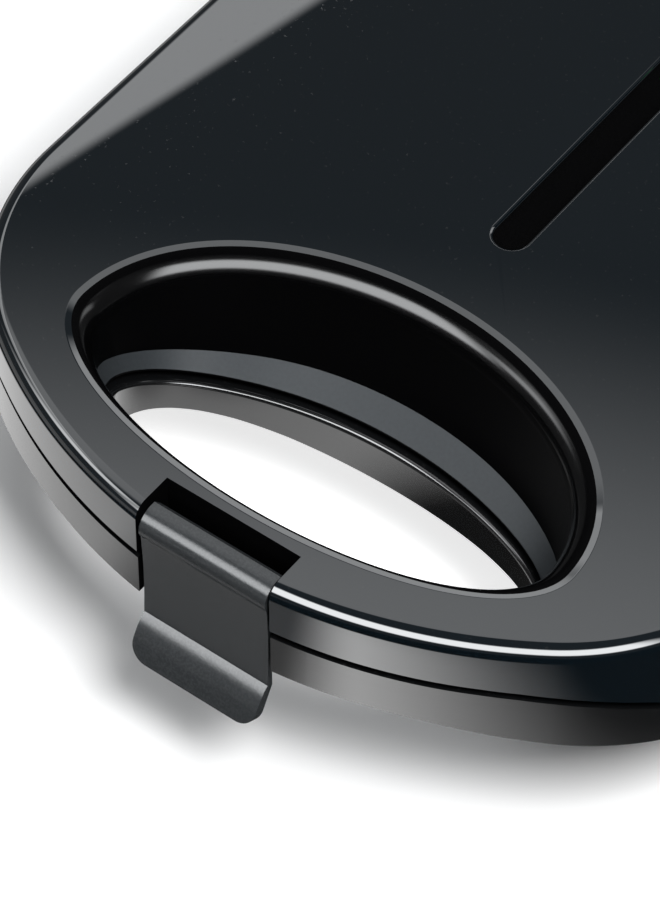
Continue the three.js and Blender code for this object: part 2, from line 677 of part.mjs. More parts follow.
// Two ears that hold a hinge pin, one on each side of the lid's knuckle.
function baseEars(x) {
  const reach = (hinge.lugWidth + hinge.earWidth) / 2 + seat;
  const high = partingHeight - partingGap / 2;
  const armFoot = partingHeight - hinge.armDrop;
  const arm = polygon([
    [backY - hinge.root, high],
    [backY - hinge.root, armFoot],
    [backY, armFoot],
    [hingeY + hinge.radius, partingHeight],
    [hingeY, high],
  ]);
  return [x - reach, x + reach].map((middle) => {
    const knuckle = postAlongX(hinge.radius, hinge.earWidth, 2 * smallRound);
    return acrossX(arm, hinge.earWidth, middle).add(knuckle.translate([middle, hingeY, partingHeight]));
  });
}

const hingePinLength = hinge.lugWidth + 2 * (hinge.earWidth + seat);
const hingePinSolid = (x) =>
  postAlongX(hinge.pinRadius, hingePinLength).translate([x, hingeY, partingHeight]);

// The bottom cover's outline, grown by an amount.
const coverOutline = (grow, radius) =>
  roundedRectangle(coverHalf + grow, coverFront - grow, coverBack + grow, radius);

const padFace = backY + glandPad.reach - baseShell.draft / 2;
const coverHalf = bodyHalf - bottomCover.inset;
const coverFront = mouthFront + bottomCover.front;
const coverBack = mouthBack - bottomCover.back;
const bottomScrewX = coverHalf - bottomCover.flange / 2;
const bottomScrewPlaces = [-bottomScrewX, bottomScrewX].flatMap((x) => [
  [x, coverFront + 2 * bottomCover.flange],
  [x, coverBack - 2 * bottomCover.flange],
]);

// Bottom cover: a plate in the base's rebate, with vent slots.
function bottomCoverSolid() {
  const outline = coverOutline(0, bottomCover.cornerRadius);
  const sheet = slab(outline, footHeight, footHeight + bottomCover.thickness);
  const middleY = (coverFront + coverBack) / 2;
  const slot = box(-vent.length / 2, vent.length / 2, -vent.width / 2, vent.width / 2, 0, 2 * footHeight);
  const slots = [];
  for (const x of [-vent.length, vent.length]) {
    for (let i = 0; i < vent.count; i++) {
      slots.push(slot.translate([x, middleY + (i - (vent.count - 1) / 2) * vent.pitch, 0]));
    }
  }
  const holes = bottomScrewPlaces.map(([x, y]) =>
    post(screw.shankRadius + seat, 0, 2 * footHeight).translate([x, y, 0])
  );
  return sheet.subtract(joined([...slots, ...holes]));
}

// Foot: a short rubber post, tapered towards the table.
function rubberFoot() {
  const top = footHeight - seat;
  return turned([[0, 0], [foot.baseRadius, 0], [foot.radius, foot.taper], [foot.radius, top], [0, top]]);
}

// Thermostat: a round can against the back of the lower plate.
function thermostatCan() {
  const top = stackedAt(-1, tubBack + seat);
  const step = top - thermostat.height;
  return turned([
    [0, step - thermostat.capHeight], [thermostat.capRadius, step - thermostat.capHeight],
    [thermostat.capRadius, step], [thermostat.radius, step], [thermostat.radius, top], [0, top],
  ]);
}

const thermalFuse = () => postAlongX(fuse.radius, fuse.length, smallRound / 2);

// Terminal block: a ceramic bar with a screw well for each wire.
function terminalBlockSolid() {
  const { width, depth, height, ways, screwRadius, screwDepth } = terminalBlock;
  const pitch = width / ways;
  const wells = [];
  for (let i = 0; i < ways; i++) {
    const x = (i - (ways - 1) / 2) * pitch;
    wells.push(post(screwRadius, height - screwDepth, height + overrun, smallRound / 2).translate([x, 0, 0]));
  }
  return box(-width / 2, width / 2, -depth / 2, depth / 2, 0, height).subtract(joined(wells));
}

// Cord gland: a bush through the back wall with a flange outside and a collar inside.
function cordGland() {
  const face = padFace + seat;
  const inner = backY - gland.wall - seat;
  const pairs = [
    [gland.bore, inner - gland.innerLength], [gland.neck, inner - gland.innerLength],
    [gland.neck, face], [glandFlange.radius, face], [glandFlange.radius, face + glandFlange.thickness],
    [gland.bore, face + glandFlange.thickness], [gland.bore, inner - gland.innerLength],
  ];
  return turned(pairs).rotate([-90, 0, 0]);
}

// Assembly

const assembly = new THREE.Group();
const lid = new THREE.Group();
const base = new THREE.Group();
assembly.add(lid, base);

function place(group, name, shape, material, position = [0, 0, 0], rotation = [0, 0, 0]) {
  const mesh = new THREE.Mesh(geometryOf(shape), material);
  mesh.name = name;
  mesh.position.set(...position);
  mesh.rotation.set(...rotation);
  group.add(mesh);
}

place(lid, 'lid_cover', lidCover(), finish.gloss);
place(lid, 'lid_liner', linerFrame(1), finish.inner);
place(lid, 'upper_plate', cookingPlate(1), finish.nonStick);
place(lid, 'upper_element', heatingElement(1), finish.steel);
place(lid, 'upper_reflector', reflectorTray(1), finish.aluminium);
['power', 'ready'].forEach((use, i) => {
  place(lid, `${use}_lamp_lens`, lampLens(), use === 'power' ? finish.red : finish.green, [0, lampY[i], 0]);
  place(lid, `${use}_neon_lamp`, neonLamp(), finish.glass, [0, lampY[i], 0]);
});
place(lid, 'latch', latchClip(), finish.matte);
place(lid, 'latch_pin', latchPinSolid(), finish.steel);
linerCorners.forEach(([x, y], i) => {
  const z = stackedAt(1, linerFace);
  place(lid, `lid_screw_${i + 1}`, screwSolid(linerScrewLength), finish.steel, [x, y, z]);
});

place(base, 'base_cover', baseCover(), finish.base);
place(base, 'base_liner', linerFrame(-1), finish.inner);
place(base, 'lower_plate', cookingPlate(-1), finish.nonStick);
place(base, 'lower_element', heatingElement(-1), finish.steel);
place(base, 'lower_reflector', reflectorTray(-1), finish.aluminium);
place(base, 'thermostat', thermostatCan(), finish.steel, [0, plateMiddle, 0]);
const fusePlace = [0, plateMiddle + fuse.spacing, stackedAt(-1, tubBack + seat + fuse.radius)];
place(base, 'thermal_fuse', thermalFuse(), finish.ceramic, fusePlace);
const blockPlace = [-gland.x, coverBack + terminalBlock.depth, baseFloorTop + seat];
place(base, 'terminal_block', terminalBlockSolid(), finish.ceramic, blockPlace);
place(base, 'cord_gland', cordGland(), finish.rubber, [gland.x, 0, gland.z]);
place(base, 'bottom_cover', bottomCoverSolid(), finish.inner);
const footX = bodyHalf - foot.inset;
const footFront = frontY + belly.start + bellyRun + foot.behindBelly;
for (const [side, x] of Object.entries({ left: -footX, right: footX })) {
  place(base, `foot_front_${side}`, rubberFoot(), finish.rubber, [x, footFront, 0]);
  place(base, `foot_back_${side}`, rubberFoot(), finish.rubber, [x, backY - foot.back, 0]);
}
bottomScrewPlaces.forEach(([x, y], i) => {
  const z = footHeight - seat - screw.headHeight;
  place(base, `bottom_screw_${i + 1}`, screwSolid(bottomScrewLength), finish.steel, [x, y, z]);
});
linerCorners.forEach(([x, y], i) => {
  const z = stackedAt(-1, linerFace);
  place(base, `base_screw_${i + 1}`, screwSolid(linerScrewLength), finish.steel, [x, y, z], [Math.PI, 0, 0]);
});
for (const [side, x] of Object.entries(hingeSides)) {
  place(base, `hinge_pin_${side}`, hingePinSolid(x), finish.steel);
}

// The whole stands with the middle of its floor area at the origin.
const bounds = new THREE.Box3().setFromObject(assembly);
assembly.position.set(-(bounds.min.x + bounds.max.x) / 2, -(bounds.min.y + bounds.max.y) / 2, -bounds.min.z);

export default assembly;
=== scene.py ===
# %% [markdown]
# A table-top sandwich maker, dressed for its portrait. Two black moulded halves are hinged at the
# back and held shut at the front by a clip. A hand hole like an eye goes through both, and behind it
# the lid is scooped out for the fingers. The frame from the CAD model stays fixed, and this lesson
# adds the finer skins, the finishes, the studio and the camera.

# %% Load the fixed frame
import json
import math

import bmesh
import bpy
from mathutils import Matrix, Vector

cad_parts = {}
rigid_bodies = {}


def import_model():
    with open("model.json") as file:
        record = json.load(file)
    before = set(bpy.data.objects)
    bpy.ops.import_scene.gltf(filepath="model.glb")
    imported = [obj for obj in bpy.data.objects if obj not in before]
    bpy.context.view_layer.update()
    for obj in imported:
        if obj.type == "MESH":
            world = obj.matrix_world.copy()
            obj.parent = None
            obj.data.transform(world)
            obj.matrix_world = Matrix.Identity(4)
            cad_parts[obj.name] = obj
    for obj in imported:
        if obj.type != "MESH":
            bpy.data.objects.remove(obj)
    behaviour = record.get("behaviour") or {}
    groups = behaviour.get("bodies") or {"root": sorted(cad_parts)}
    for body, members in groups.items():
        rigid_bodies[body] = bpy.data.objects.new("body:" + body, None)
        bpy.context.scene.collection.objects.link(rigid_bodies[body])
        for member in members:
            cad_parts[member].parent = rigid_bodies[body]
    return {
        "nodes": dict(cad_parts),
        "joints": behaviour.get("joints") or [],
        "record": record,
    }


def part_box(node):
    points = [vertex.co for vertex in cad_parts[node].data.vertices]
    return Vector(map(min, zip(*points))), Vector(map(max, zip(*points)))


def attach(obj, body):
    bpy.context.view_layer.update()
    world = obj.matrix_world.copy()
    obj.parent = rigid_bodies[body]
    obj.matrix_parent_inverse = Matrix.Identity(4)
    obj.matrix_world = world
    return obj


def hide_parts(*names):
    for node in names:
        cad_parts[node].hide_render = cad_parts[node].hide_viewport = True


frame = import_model()
nodes = frame["nodes"]
MM = 0.001
TURN = 2 * math.pi
QUARTER = TURN / 4


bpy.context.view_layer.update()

# %% [markdown]
# The camera comes first, because everything after it is judged through it. The photograph is a close
# crop taken with a long lens, about 37 degrees round from the front and 50 degrees above the table. A
# camera that looks straight down its own axis needs no lens shift, so it also works when it is moved
# for other views. Its place is in millimetres, like every size here.

# %% Camera
VIEW_AZIMUTH = math.radians(36.638)
VIEW_ELEVATION = math.radians(50.262)
VIEW_ROLL = math.radians(0.359)
VIEW_DISTANCE = 1071.4
VIEW_TARGET = Vector((-2.162, -73.154, 66.209))
VIEW_LENS = 180.157
SENSOR = 36
NEAREST_SEEN = 50


def aim_axes(azimuth, elevation, roll=0):
    """Right, up and back, as seen from a place that far round from the front and above the table."""
    back = Vector((
        math.sin(azimuth) * math.cos(elevation),
        -math.cos(azimuth) * math.cos(elevation),
        math.sin(elevation),
    ))
    right = Vector((math.cos(azimuth), math.sin(azimuth), 0))
    up = back.cross(right)
    tipped = right * math.cos(roll) + up * math.sin(roll)
    return tipped, back.cross(tipped), back


def standing_at(place, axes):
    return Matrix.Translation(place) @ Matrix(axes).transposed().to_4x4()


def add_camera():
    data = bpy.data.cameras.new("portrait_camera")
    data.lens = VIEW_LENS
    data.sensor_width = SENSOR
    data.clip_start = NEAREST_SEEN * MM
    camera = bpy.data.objects.new("portrait_camera", data)
    bpy.context.scene.collection.objects.link(camera)
    right, up, back = aim_axes(VIEW_AZIMUTH, VIEW_ELEVATION, VIEW_ROLL)
    camera.matrix_world = standing_at((VIEW_TARGET + back * VIEW_DISTANCE) * MM, (right, up, back))
    bpy.context.scene.camera = camera
    return camera


camera = add_camera()
print("camera in metres:", [round(value, 3) for value in camera.matrix_world.translation])

# %% [markdown]
# Sizes. The overall ones are read back from the frame, and the rest are the moulder's own. All are in
# millimetres, and one function turns them into metres when a mesh is made. The frame gives the outer
# corners and the two axes that things turn on, so the skins can't drift away from the joints.

# %% Overall sizes
def frame_box(node):
    low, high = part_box(node)
    return low / MM, high / MM


def joint_place(name):
    joint = next(joint for joint in frame["joints"] if joint["name"] == name)
    return Vector(joint["pos_m"]) / MM


_, lid_corner = frame_box("lid_cover")
base_corner, _ = frame_box("base_cover")
hinge_axis = joint_place("lid_hinge")
latch_axis = joint_place("latch_pivot")

half_width = lid_corner.x
lid_top = lid_corner.z
foot_height = base_corner.z
parting_height = hinge_axis.z
# The room is from the axis to the back wall, and the root is how far inside it arms and ears begin.
hinge = {
    "room": 6.2, "radius": 5.5, "bore": 2.8, "inset": 38, "lug": 14, "ear": 5,
    "root": 3, "drop": 14, "rise": 13,
}
body_length = 246
back_y = hinge_axis.y - hinge["room"]
front_y = back_y - body_length
# Each half stops this far short of the parting line, which leaves the dark gap between them.
gap = {"lid": 1.4, "base": 1.3}
# Pieces that sit in a seat have this much air, and a cutter reaches this far past what it cuts.
seat = 0.3
overrun = 6
print("front", round(front_y, 2), "back", round(back_y, 2), "lid top", round(lid_top, 2))

# %% [markdown]
# The hand hole is an eye: an ellipse whose back reaches further than its front. It is widest at the
# lid's edge and narrower at every level below, so it is kept as one row of sizes for each level. The
# room for the plates, the mouth, starts behind the wall that closes the scoop.

# %% Sizes of the hand hole and the mouth
eye_behind_front = 46.4
eye_y = front_y + eye_behind_front
eye_edge = {"half": 71, "front": 28.8, "back": 49.3}
eye_wall = {"half": 65, "front": 26.8, "back": 43.2}
eye_foot = {"half": 64.5, "front": 26.8, "back": 38.5}
eye_lid = {"half": 62, "front": 26.8, "back": 31.5}
eye_base = {"half": 60.5, "front": 26.2, "back": 29.5}
mouth = {"wall": 14.8, "side": 6, "back": 6, "corner": 8, "shelf": 2, "depth": 5}
mouth_front = eye_y + eye_edge["back"] + mouth["wall"]
mouth_back = back_y - mouth["back"]
mouth_half = half_width - mouth["side"]
print("eye at y", round(eye_y, 2), "mouth from y", round(mouth_front, 2), "to", round(mouth_back, 2))

# %% [markdown]
# Outlines are lists of points made from arcs. Seen from above, the body's front is one wide bow that
# runs into two large corners, and its back corners are small. An inset draws the whole outline in,
# which is all that a rounded edge needs: the same outline again, a little smaller and a little higher.

# %% Outlines
front_flatter = 34
corner_radius = 66
back_corner_radius = 20


def arc(x, y, radius, start, end, steps):
    points = []
    for i in range(steps + 1):
        angle = start + (end - start) * i / steps
        points.append((x + radius * math.cos(angle), y + radius * math.sin(angle)))
    return points


def circle(x, y, radius, steps=48):
    return arc(x, y, radius, 0, TURN, steps)[:-1]


def without_doubles(points, nearest=1e-4):
    kept = []
    for point in points:
        if not kept or math.dist(point, kept[-1]) > nearest:
            kept.append(point)
    if math.dist(kept[0], kept[-1]) < nearest:
        kept.pop()
    return kept


def body_outline(inset, steps=30):
    front_radius = half_width + front_flatter
    front_centre = front_y + front_radius
    corner_x = half_width - corner_radius
    spread = math.asin(corner_x / (front_radius - corner_radius))
    corner_y = front_centre - (front_radius - corner_radius) * math.cos(spread)
    back_x = half_width - back_corner_radius
    rear_y = back_y - back_corner_radius
    radii = (front_radius, corner_radius, back_corner_radius)
    bow, corner, back_corner = (radius - inset for radius in radii)
    points = arc(0, front_centre, bow, -QUARTER - spread, -QUARTER + spread, 2 * steps)
    points += arc(corner_x, corner_y, corner, -QUARTER + spread, 0, steps)
    points += arc(back_x, rear_y, back_corner, 0, QUARTER, steps // 2)
    points += arc(-back_x, rear_y, back_corner, QUARTER, math.pi, steps // 2)
    points += arc(-corner_x, corner_y, corner, math.pi, math.pi + QUARTER - spread, steps)
    return without_doubles(points)


def rounded_rectangle(half_x, low_y, high_y, radius, steps=8):
    points = arc(half_x - radius, low_y + radius, radius, -QUARTER, 0, steps)
    points += arc(half_x - radius, high_y - radius, radius, 0, QUARTER, steps)
    points += arc(-half_x + radius, high_y - radius, radius, QUARTER, math.pi, steps)
    points += arc(-half_x + radius, low_y + radius, radius, math.pi, 3 * QUARTER, steps)
    return without_doubles(points)


def mouth_outline(inset=0):
    corner = mouth["corner"] - inset
    return rounded_rectangle(mouth_half - inset, mouth_front + inset, mouth_back - inset, corner)


def eye_outline(size, grow=0, steps=144):
    points = []
    for i in range(steps):
        angle = TURN * i / steps
        reach = size["back"] if math.sin(angle) > 0 else size["front"]
        x = (size["half"] + grow) * math.cos(angle)
        y = eye_y + (reach + grow) * math.sin(angle)
        points.append((x, y))
    return points


print("points round the body:", len(body_outline(0)), "round the eye:", len(eye_outline(eye_lid)))

# %% [markdown]
# Seen from the side, the line between the halves climbs from the plates to the handle in a soft S, and
# the base's underside leaves the table towards the handle, so that fingers can pass beneath. Both are
# plain functions of y, which keeps the lid, the base and the hand hole on one and the same curve.

# %% Parting line and underside
handle = {"rise": 19.2, "base": 14.1}
handle_parting = parting_height + handle["rise"]
handle_underside = handle_parting - handle["base"]
fall = {"start": 17, "before_mouth": 33.5}
belly = {"start": 10, "before_mouth": 13, "slope": 0.45, "power": 6}


def smoothstep(share):
    share = min(max(share, 0), 1)
    return share * share * (3 - 2 * share)


def parting_at(y):
    run = mouth_front - front_y - fall["start"] - fall["before_mouth"]
    return handle_parting - handle["rise"] * smoothstep((y - front_y - fall["start"]) / run)


def underside_at(y):
    run = mouth_front - front_y - belly["start"] - belly["before_mouth"]
    share = min(max((y - front_y - belly["start"]) / run, 0), 1)
    drop = belly["slope"] * share + (1 - belly["slope"]) * share ** belly["power"]
    return handle_underside + (foot_height - handle_underside) * drop


def ring(points, z):
    return [(x, y, z) for x, y in points]


def above_parting(points, lift):
    return [(x, y, parting_at(y) + lift) for x, y in points]


print("handle: underside", round(handle_underside, 2), "parting line", round(handle_parting, 2))

# %% [markdown]
# A moulded half is lofted through rings, and what the mould leaves out is cut from it with solids made
# the same way. The cuts are exact booleans, applied at once, so the piece keeps no modifier that needs
# its cutter. Normals are then weighted by face area: the flat lid stays a true mirror right up to its
# rounded edge, where plain smooth shading would bend the reflection.

# %% Solids and cuts
def object_from(mesh_data, name):
    mesh = bpy.data.meshes.new(name)
    bmesh.ops.recalc_face_normals(mesh_data, faces=mesh_data.faces)
    bmesh.ops.scale(mesh_data, vec=(MM, MM, MM), verts=mesh_data.verts)
    mesh_data.to_mesh(mesh)
    mesh_data.free()
    piece = bpy.data.objects.new(name, mesh)
    bpy.context.scene.collection.objects.link(piece)
    return piece


def loft(rings, name="cutter"):
    mesh_data = bmesh.new()
    levels = [[mesh_data.verts.new(point) for point in points] for points in rings]
    count = len(levels[0])
    for lower, upper in zip(levels, levels[1:]):
        for i in range(count):
            j = (i + 1) % count
            mesh_data.faces.new((lower[i], lower[j], upper[j], upper[i]))
    mesh_data.faces.new(list(reversed(levels[0])))
    mesh_data.faces.new(levels[-1])
    return object_from(mesh_data, name)


def slab(outline, low, high, name="cutter"):
    return loft([ring(outline, low), ring(outline, high)], name)


def prism_along_x(profile, low_x, high_x, name="cutter"):
    return loft([[(x, y, z) for y, z in profile] for x in (low_x, high_x)], name)


def rod_along_x(y, z, radius, low_x, high_x):
    return prism_along_x(circle(y, z, radius), low_x, high_x)


def rod_along_y(x, z, radius, low_y, high_y):
    outline = circle(x, z, radius)
    return loft([[(point_x, y, point_z) for point_x, point_z in outline] for y in (low_y, high_y)])


def beyond_curve(height_at, lift, end, steps=56):
    """A block that starts at a curve over y and goes on to a level past the body."""
    low_y, high_y = front_y - overrun, back_y + overrun
    span = high_y - low_y
    curve = []
    for i in range(steps + 1):
        y = low_y + span * i / steps
        curve.append((y, height_at(y) + lift))
    far = half_width + overrun
    return prism_along_x(curve + [(high_y, end), (low_y, end)], -far, far)


def apply_modifiers(piece):
    graph = bpy.context.evaluated_depsgraph_get()
    mesh = bpy.data.meshes.new_from_object(piece.evaluated_get(graph))
    piece.modifiers.clear()
    piece.data = mesh


def combine(piece, others, operation):
    for other in others:
        modifier = piece.modifiers.new("cut", "BOOLEAN")
        modifier.operation = operation
        modifier.solver = "EXACT"
        modifier.object = other
        apply_modifiers(piece)
        bpy.data.objects.remove(other)


def settle(piece, sharp_angle=32):
    piece.data.shade_smooth()
    piece.data.set_sharp_from_angle(angle=math.radians(sharp_angle))
    weighted = piece.modifiers.new("flat faces stay flat", "WEIGHTED_NORMAL")
    weighted.keep_sharp = True
    weighted.weight = 100
    return piece


print("mesh helpers ready")

# %% [markdown]
# The lid is one glossy moulding: a shell lofted up to a rounded edge. The hole's edge is what makes it
# look moulded. A shallow lip dips into it, and behind the handle a rounded shoulder leads down a steep
# wall to a thin ledge. All of that is one cutter, lofted from the ledge up through the shoulder.

# %% Lid shell and scoop
lid_edge = 4
lip = {"width": 1.9, "drop": 0.3}
shoulder = {"height": 7, "sweep": 0.97}
ledge = {"thickness": 0.7, "rise": 4.2, "draft": 2}


def rounded_shell(low, edge_steps=10):
    rings = [ring(body_outline(0), low)]
    for i in range(edge_steps + 1):
        angle = QUARTER * i / edge_steps
        outline = body_outline(lid_edge * (1 - math.cos(angle)))
        rings.append(ring(outline, lid_top - lid_edge * (1 - math.sin(angle))))
    return rings


def lip_rings():
    """From the shoulder's end, the lip rises in a short slope and then levels out into the lid's top."""
    width, drop = lip["width"], lip["drop"]
    steps = [
        (0.06, lid_top - drop + drop * 0.08),
        (0.8, lid_top - drop * 0.12),
        (1, lid_top),
        (1, lid_top + overrun),
    ]
    return [ring(eye_outline(eye_edge, width * share), height) for share, height in steps]


def scoop_rings(shoulder_steps=14):
    ledge_height = gap["lid"] + ledge["thickness"]
    rings = [
        ring(eye_outline(eye_lid, -ledge["draft"]), parting_height - overrun),
        above_parting(eye_outline(eye_lid), ledge_height),
        above_parting(eye_outline(eye_foot), ledge_height + ledge["rise"]),
    ]
    for i in range(shoulder_steps + 1):
        angle = QUARTER * i / shoulder_steps * shoulder["sweep"]
        share = 1 - math.cos(angle)
        size = {key: eye_wall[key] + (eye_edge[key] - eye_wall[key]) * share for key in eye_edge}
        height = lid_top - lip["drop"] - shoulder["height"] * (1 - math.sin(angle))
        rings.append(ring(eye_outline(size), height))
    return rings + lip_rings()


print("scoop:", len(scoop_rings()), "rings")

# %% [markdown]
# A long groove runs back along the middle of the lid, with round ends and a floor that curves up into
# its walls, and at the handle the latch lies in a recess with plain straight sides. The recess goes on
# into the base, less deep, so its sizes are kept here for both halves.

# %% Groove and recess
groove = {"half": 5.5, "depth": 2, "edge": 0.6, "behind_mouth": 8, "back": 26}
recess = {"half": 19.5, "depth": 13.4, "base_depth": 8}


def groove_outline(half, steps=20):
    start = mouth_front + groove["behind_mouth"] + groove["half"]
    end = back_y - groove["back"] - groove["half"]
    return arc(0, start, half, math.pi, TURN, steps) + arc(0, end, half, 0, math.pi, steps)


def groove_rings(steps=10):
    half, depth, edge = groove["half"], groove["depth"], groove["edge"]
    rings = []
    for i in range(1, steps + 1):
        angle = QUARTER * i / steps
        below = edge / 2 + (depth - edge / 2) * math.cos(angle)
        rings.append(ring(groove_outline((half - edge) * math.sin(angle)), lid_top - below))
    rings.append(ring(groove_outline(half - edge / 3), lid_top - edge / 8))
    rings.append(ring(groove_outline(half), lid_top))
    rings.append(ring(groove_outline(half), lid_top + overrun))
    return rings


def recess_cut(depth, low):
    corners = [
        (-recess["half"], front_y - overrun), (recess["half"], front_y - overrun),
        (recess["half"], front_y + depth), (-recess["half"], front_y + depth),
    ]
    return slab(corners, low, lid_top + overrun)


print("groove:", len(groove_rings()), "rings")

# %% [markdown]
# Now the lid is put together. It is trimmed below along the parting line and gets two arms at the back,
# each with the knuckle that a hinge pin goes through. The cuts come last, because a bore has to go
# through the arm as well: the scoop, the hole, the recess, the groove, the room for the plate and its
# liner, the seats of the two lamp lenses, and the bores.

# %% Lid cover
lamp = {"radius": 2.9, "depth": 3, "sides": 32}
hinge_places = [side * (half_width - hinge["inset"]) for side in (-1, 1)]


def lid_arm(x):
    low = parting_height + gap["lid"]
    root = back_y - hinge["root"]
    slope = hinge["radius"] * math.sqrt(0.5)
    profile = [
        (root, low), (hinge_axis.y, low),
        (hinge_axis.y + slope, low + slope), (root, low + hinge["rise"]),
    ]
    low_x, high_x = x - hinge["lug"] / 2, x + hinge["lug"] / 2
    knuckle = rod_along_x(hinge_axis.y, hinge_axis.z, hinge["radius"], low_x, high_x)
    return [prism_along_x(profile, low_x, high_x), knuckle]


def pin_bore(x, reach):
    return rod_along_x(hinge_axis.y, hinge_axis.z, hinge["bore"], x - reach, x + reach)


def lens_seat(name):
    low, high = frame_box(name)
    middle = (low + high) / 2
    outline = circle(middle.x, middle.y, lamp["radius"], lamp["sides"])
    return slab(outline, lid_top - lamp["depth"] - overrun, lid_top)


def make_lid_cover():
    below = parting_height - overrun
    shell = loft(rounded_shell(below), "lid_shell")
    combine(shell, [beyond_curve(parting_at, gap["lid"], lid_top + overrun)], "INTERSECT")
    for x in hinge_places:
        combine(shell, lid_arm(x), "UNION")
    cuts = [
        loft(scoop_rings()),
        slab(eye_outline(eye_lid), below, lid_top - overrun),
        recess_cut(recess["depth"], parting_height),
        loft(groove_rings()),
        slab(mouth_outline(), below, parting_height + mouth["depth"]),
        slab(mouth_outline(mouth["shelf"]), parting_height, lid_top - lamp["depth"]),
        lens_seat("power_lamp_lens"),
        lens_seat("ready_lamp_lens"),
    ]
    cuts += [pin_bore(x, hinge["lug"]) for x in hinge_places]
    combine(shell, cuts, "DIFFERENCE")
    return settle(shell)


lid_skin = make_lid_cover()
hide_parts("lid_cover")
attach(lid_skin, "lid")
print("lid:", len(lid_skin.data.vertices), "vertices")

# %% [markdown]
# The base is lofted the other way up: narrower at its floor, because a mould needs draft to let go of
# the part. The hand hole goes through it in a slightly smaller eye, whose upper edge is rounded, and
# that rounding follows the parting line as it falls.

# %% Base shell and hole
base_edge = 3
base_draft = 5
base_inset = 0.3
hole_edge = 1.4


def base_rings(edge_steps=8):
    rings = []
    for i in range(edge_steps + 1):
        angle = QUARTER * i / edge_steps
        inset = base_inset + base_draft + base_edge * (1 - math.sin(angle))
        rings.append(ring(body_outline(inset), foot_height + base_edge * (1 - math.cos(angle))))
    rings.append(ring(body_outline(base_inset), parting_height - overrun))
    rings.append(ring(body_outline(base_inset), handle_parting + overrun))
    return rings


def hole_rings(edge_steps=8):
    rings = [ring(eye_outline(eye_base), foot_height - overrun)]
    for i in range(edge_steps + 1):
        angle = QUARTER * i / edge_steps
        outline = eye_outline(eye_base, hole_edge * (1 - math.cos(angle)))
        rings.append(above_parting(outline, hole_edge * (math.sin(angle) - 1) - gap["base"]))
    rings.append(ring(eye_outline(eye_base, hole_edge), lid_top))
    return rings


print("base:", len(base_rings()), "rings,", len(hole_rings()), "in its hole")

# %% [markdown]
# Ears at the back stand on either side of each of the lid's knuckles and carry the pins, and a round
# pad on the rear wall holds the cord's gland. The floor is open inside the bottom cover's seat. Last,
# a small rib goes across the latch's recess. On the real one the clip's nose bites under it. Here the
# nose ends just in front, so that the lid can be turned with the latch closed.

# %% Base cover
cover_low, cover_high = frame_box("bottom_cover")
cover_seat = {"rim": 8, "corner": 6, "floor": 5}
gland_low, gland_high = frame_box("cord_gland")
gland_x = (gland_low.x + gland_high.x) / 2
gland_z = (gland_low.z + gland_high.z) / 2
gland = {"bore": 5.7, "depth": 13, "pad": 10.5, "root": 7, "proud": 1.6}
catch = {"reach": 1.5, "height": 3}


def hinge_ears(x):
    high = parting_height - gap["base"]
    low = parting_height - hinge["drop"]
    root = back_y - hinge["root"]
    profile = [
        (root, high), (root, low), (back_y, low),
        (hinge_axis.y + hinge["radius"], parting_height), (hinge_axis.y, high),
    ]
    reach = (hinge["lug"] + hinge["ear"]) / 2 + seat
    pieces = []
    for middle in (x - reach, x + reach):
        low_x, high_x = middle - hinge["ear"] / 2, middle + hinge["ear"] / 2
        pieces.append(prism_along_x(profile, low_x, high_x))
        pieces.append(rod_along_x(hinge_axis.y, hinge_axis.z, hinge["radius"], low_x, high_x))
    return pieces


def gland_pad():
    high_y = back_y + gland["proud"] - base_draft / 2
    return rod_along_y(gland_x, gland_z, gland["pad"], back_y - gland["root"], high_y)


def gland_bore():
    return rod_along_y(gland_x, gland_z, gland["bore"], back_y - gland["depth"], back_y + overrun)


def cover_outline(grow, corner):
    return rounded_rectangle(cover_high.x + grow, cover_low.y - grow, cover_high.y + grow, corner)


def catch_rib():
    middle, reach = front_y + recess["base_depth"], catch["reach"]
    low, high = handle_underside, handle_underside + catch["height"]
    profile = [
        (middle - reach, low), (middle + reach, low), (middle + reach, high),
        (middle, high), (middle - reach, low + catch["height"] / 2),
    ]
    half = recess["half"] + reach / 2
    return prism_along_x(profile, -half, half)


def make_base_cover():
    below = foot_height - overrun
    shell = loft(base_rings(), "base_shell")
    combine(shell, [beyond_curve(parting_at, -gap["base"], below)], "INTERSECT")
    combine(shell, [beyond_curve(underside_at, 0, lid_top)], "INTERSECT")
    combine(shell, [gland_pad()], "UNION")
    for x in hinge_places:
        combine(shell, hinge_ears(x), "UNION")
    cuts = [
        loft(hole_rings()),
        recess_cut(recess["base_depth"], foot_height),
        slab(mouth_outline(), parting_height - mouth["depth"], parting_height + overrun),
        slab(mouth_outline(mouth["shelf"]), foot_height + cover_seat["floor"], parting_height),
        slab(cover_outline(-cover_seat["rim"], cover_seat["corner"]), below, foot_height + overrun),
        slab(cover_outline(seat, cover_seat["corner"] + seat), below, cover_high.z + seat),
        gland_bore(),
    ]
    cuts += [pin_bore(x, hinge["lug"] + overrun) for x in hinge_places]
    combine(shell, cuts, "DIFFERENCE")
    combine(shell, [catch_rib()], "UNION")
    return settle(shell)


base_skin = make_base_cover()
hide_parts("base_cover")
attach(base_skin, "base")
print("base:", len(base_skin.data.vertices), "vertices")

# %% [markdown]
# The latch is a clip moulded in one piece. It hangs from a pin in the lid, bends over the front of the
# handle and ends in a tab to pull. One closed profile, drawn from the side, gives all of that: over the
# bend, down the dished front, out along the crowned tab, and back up past the nose to the barrel.

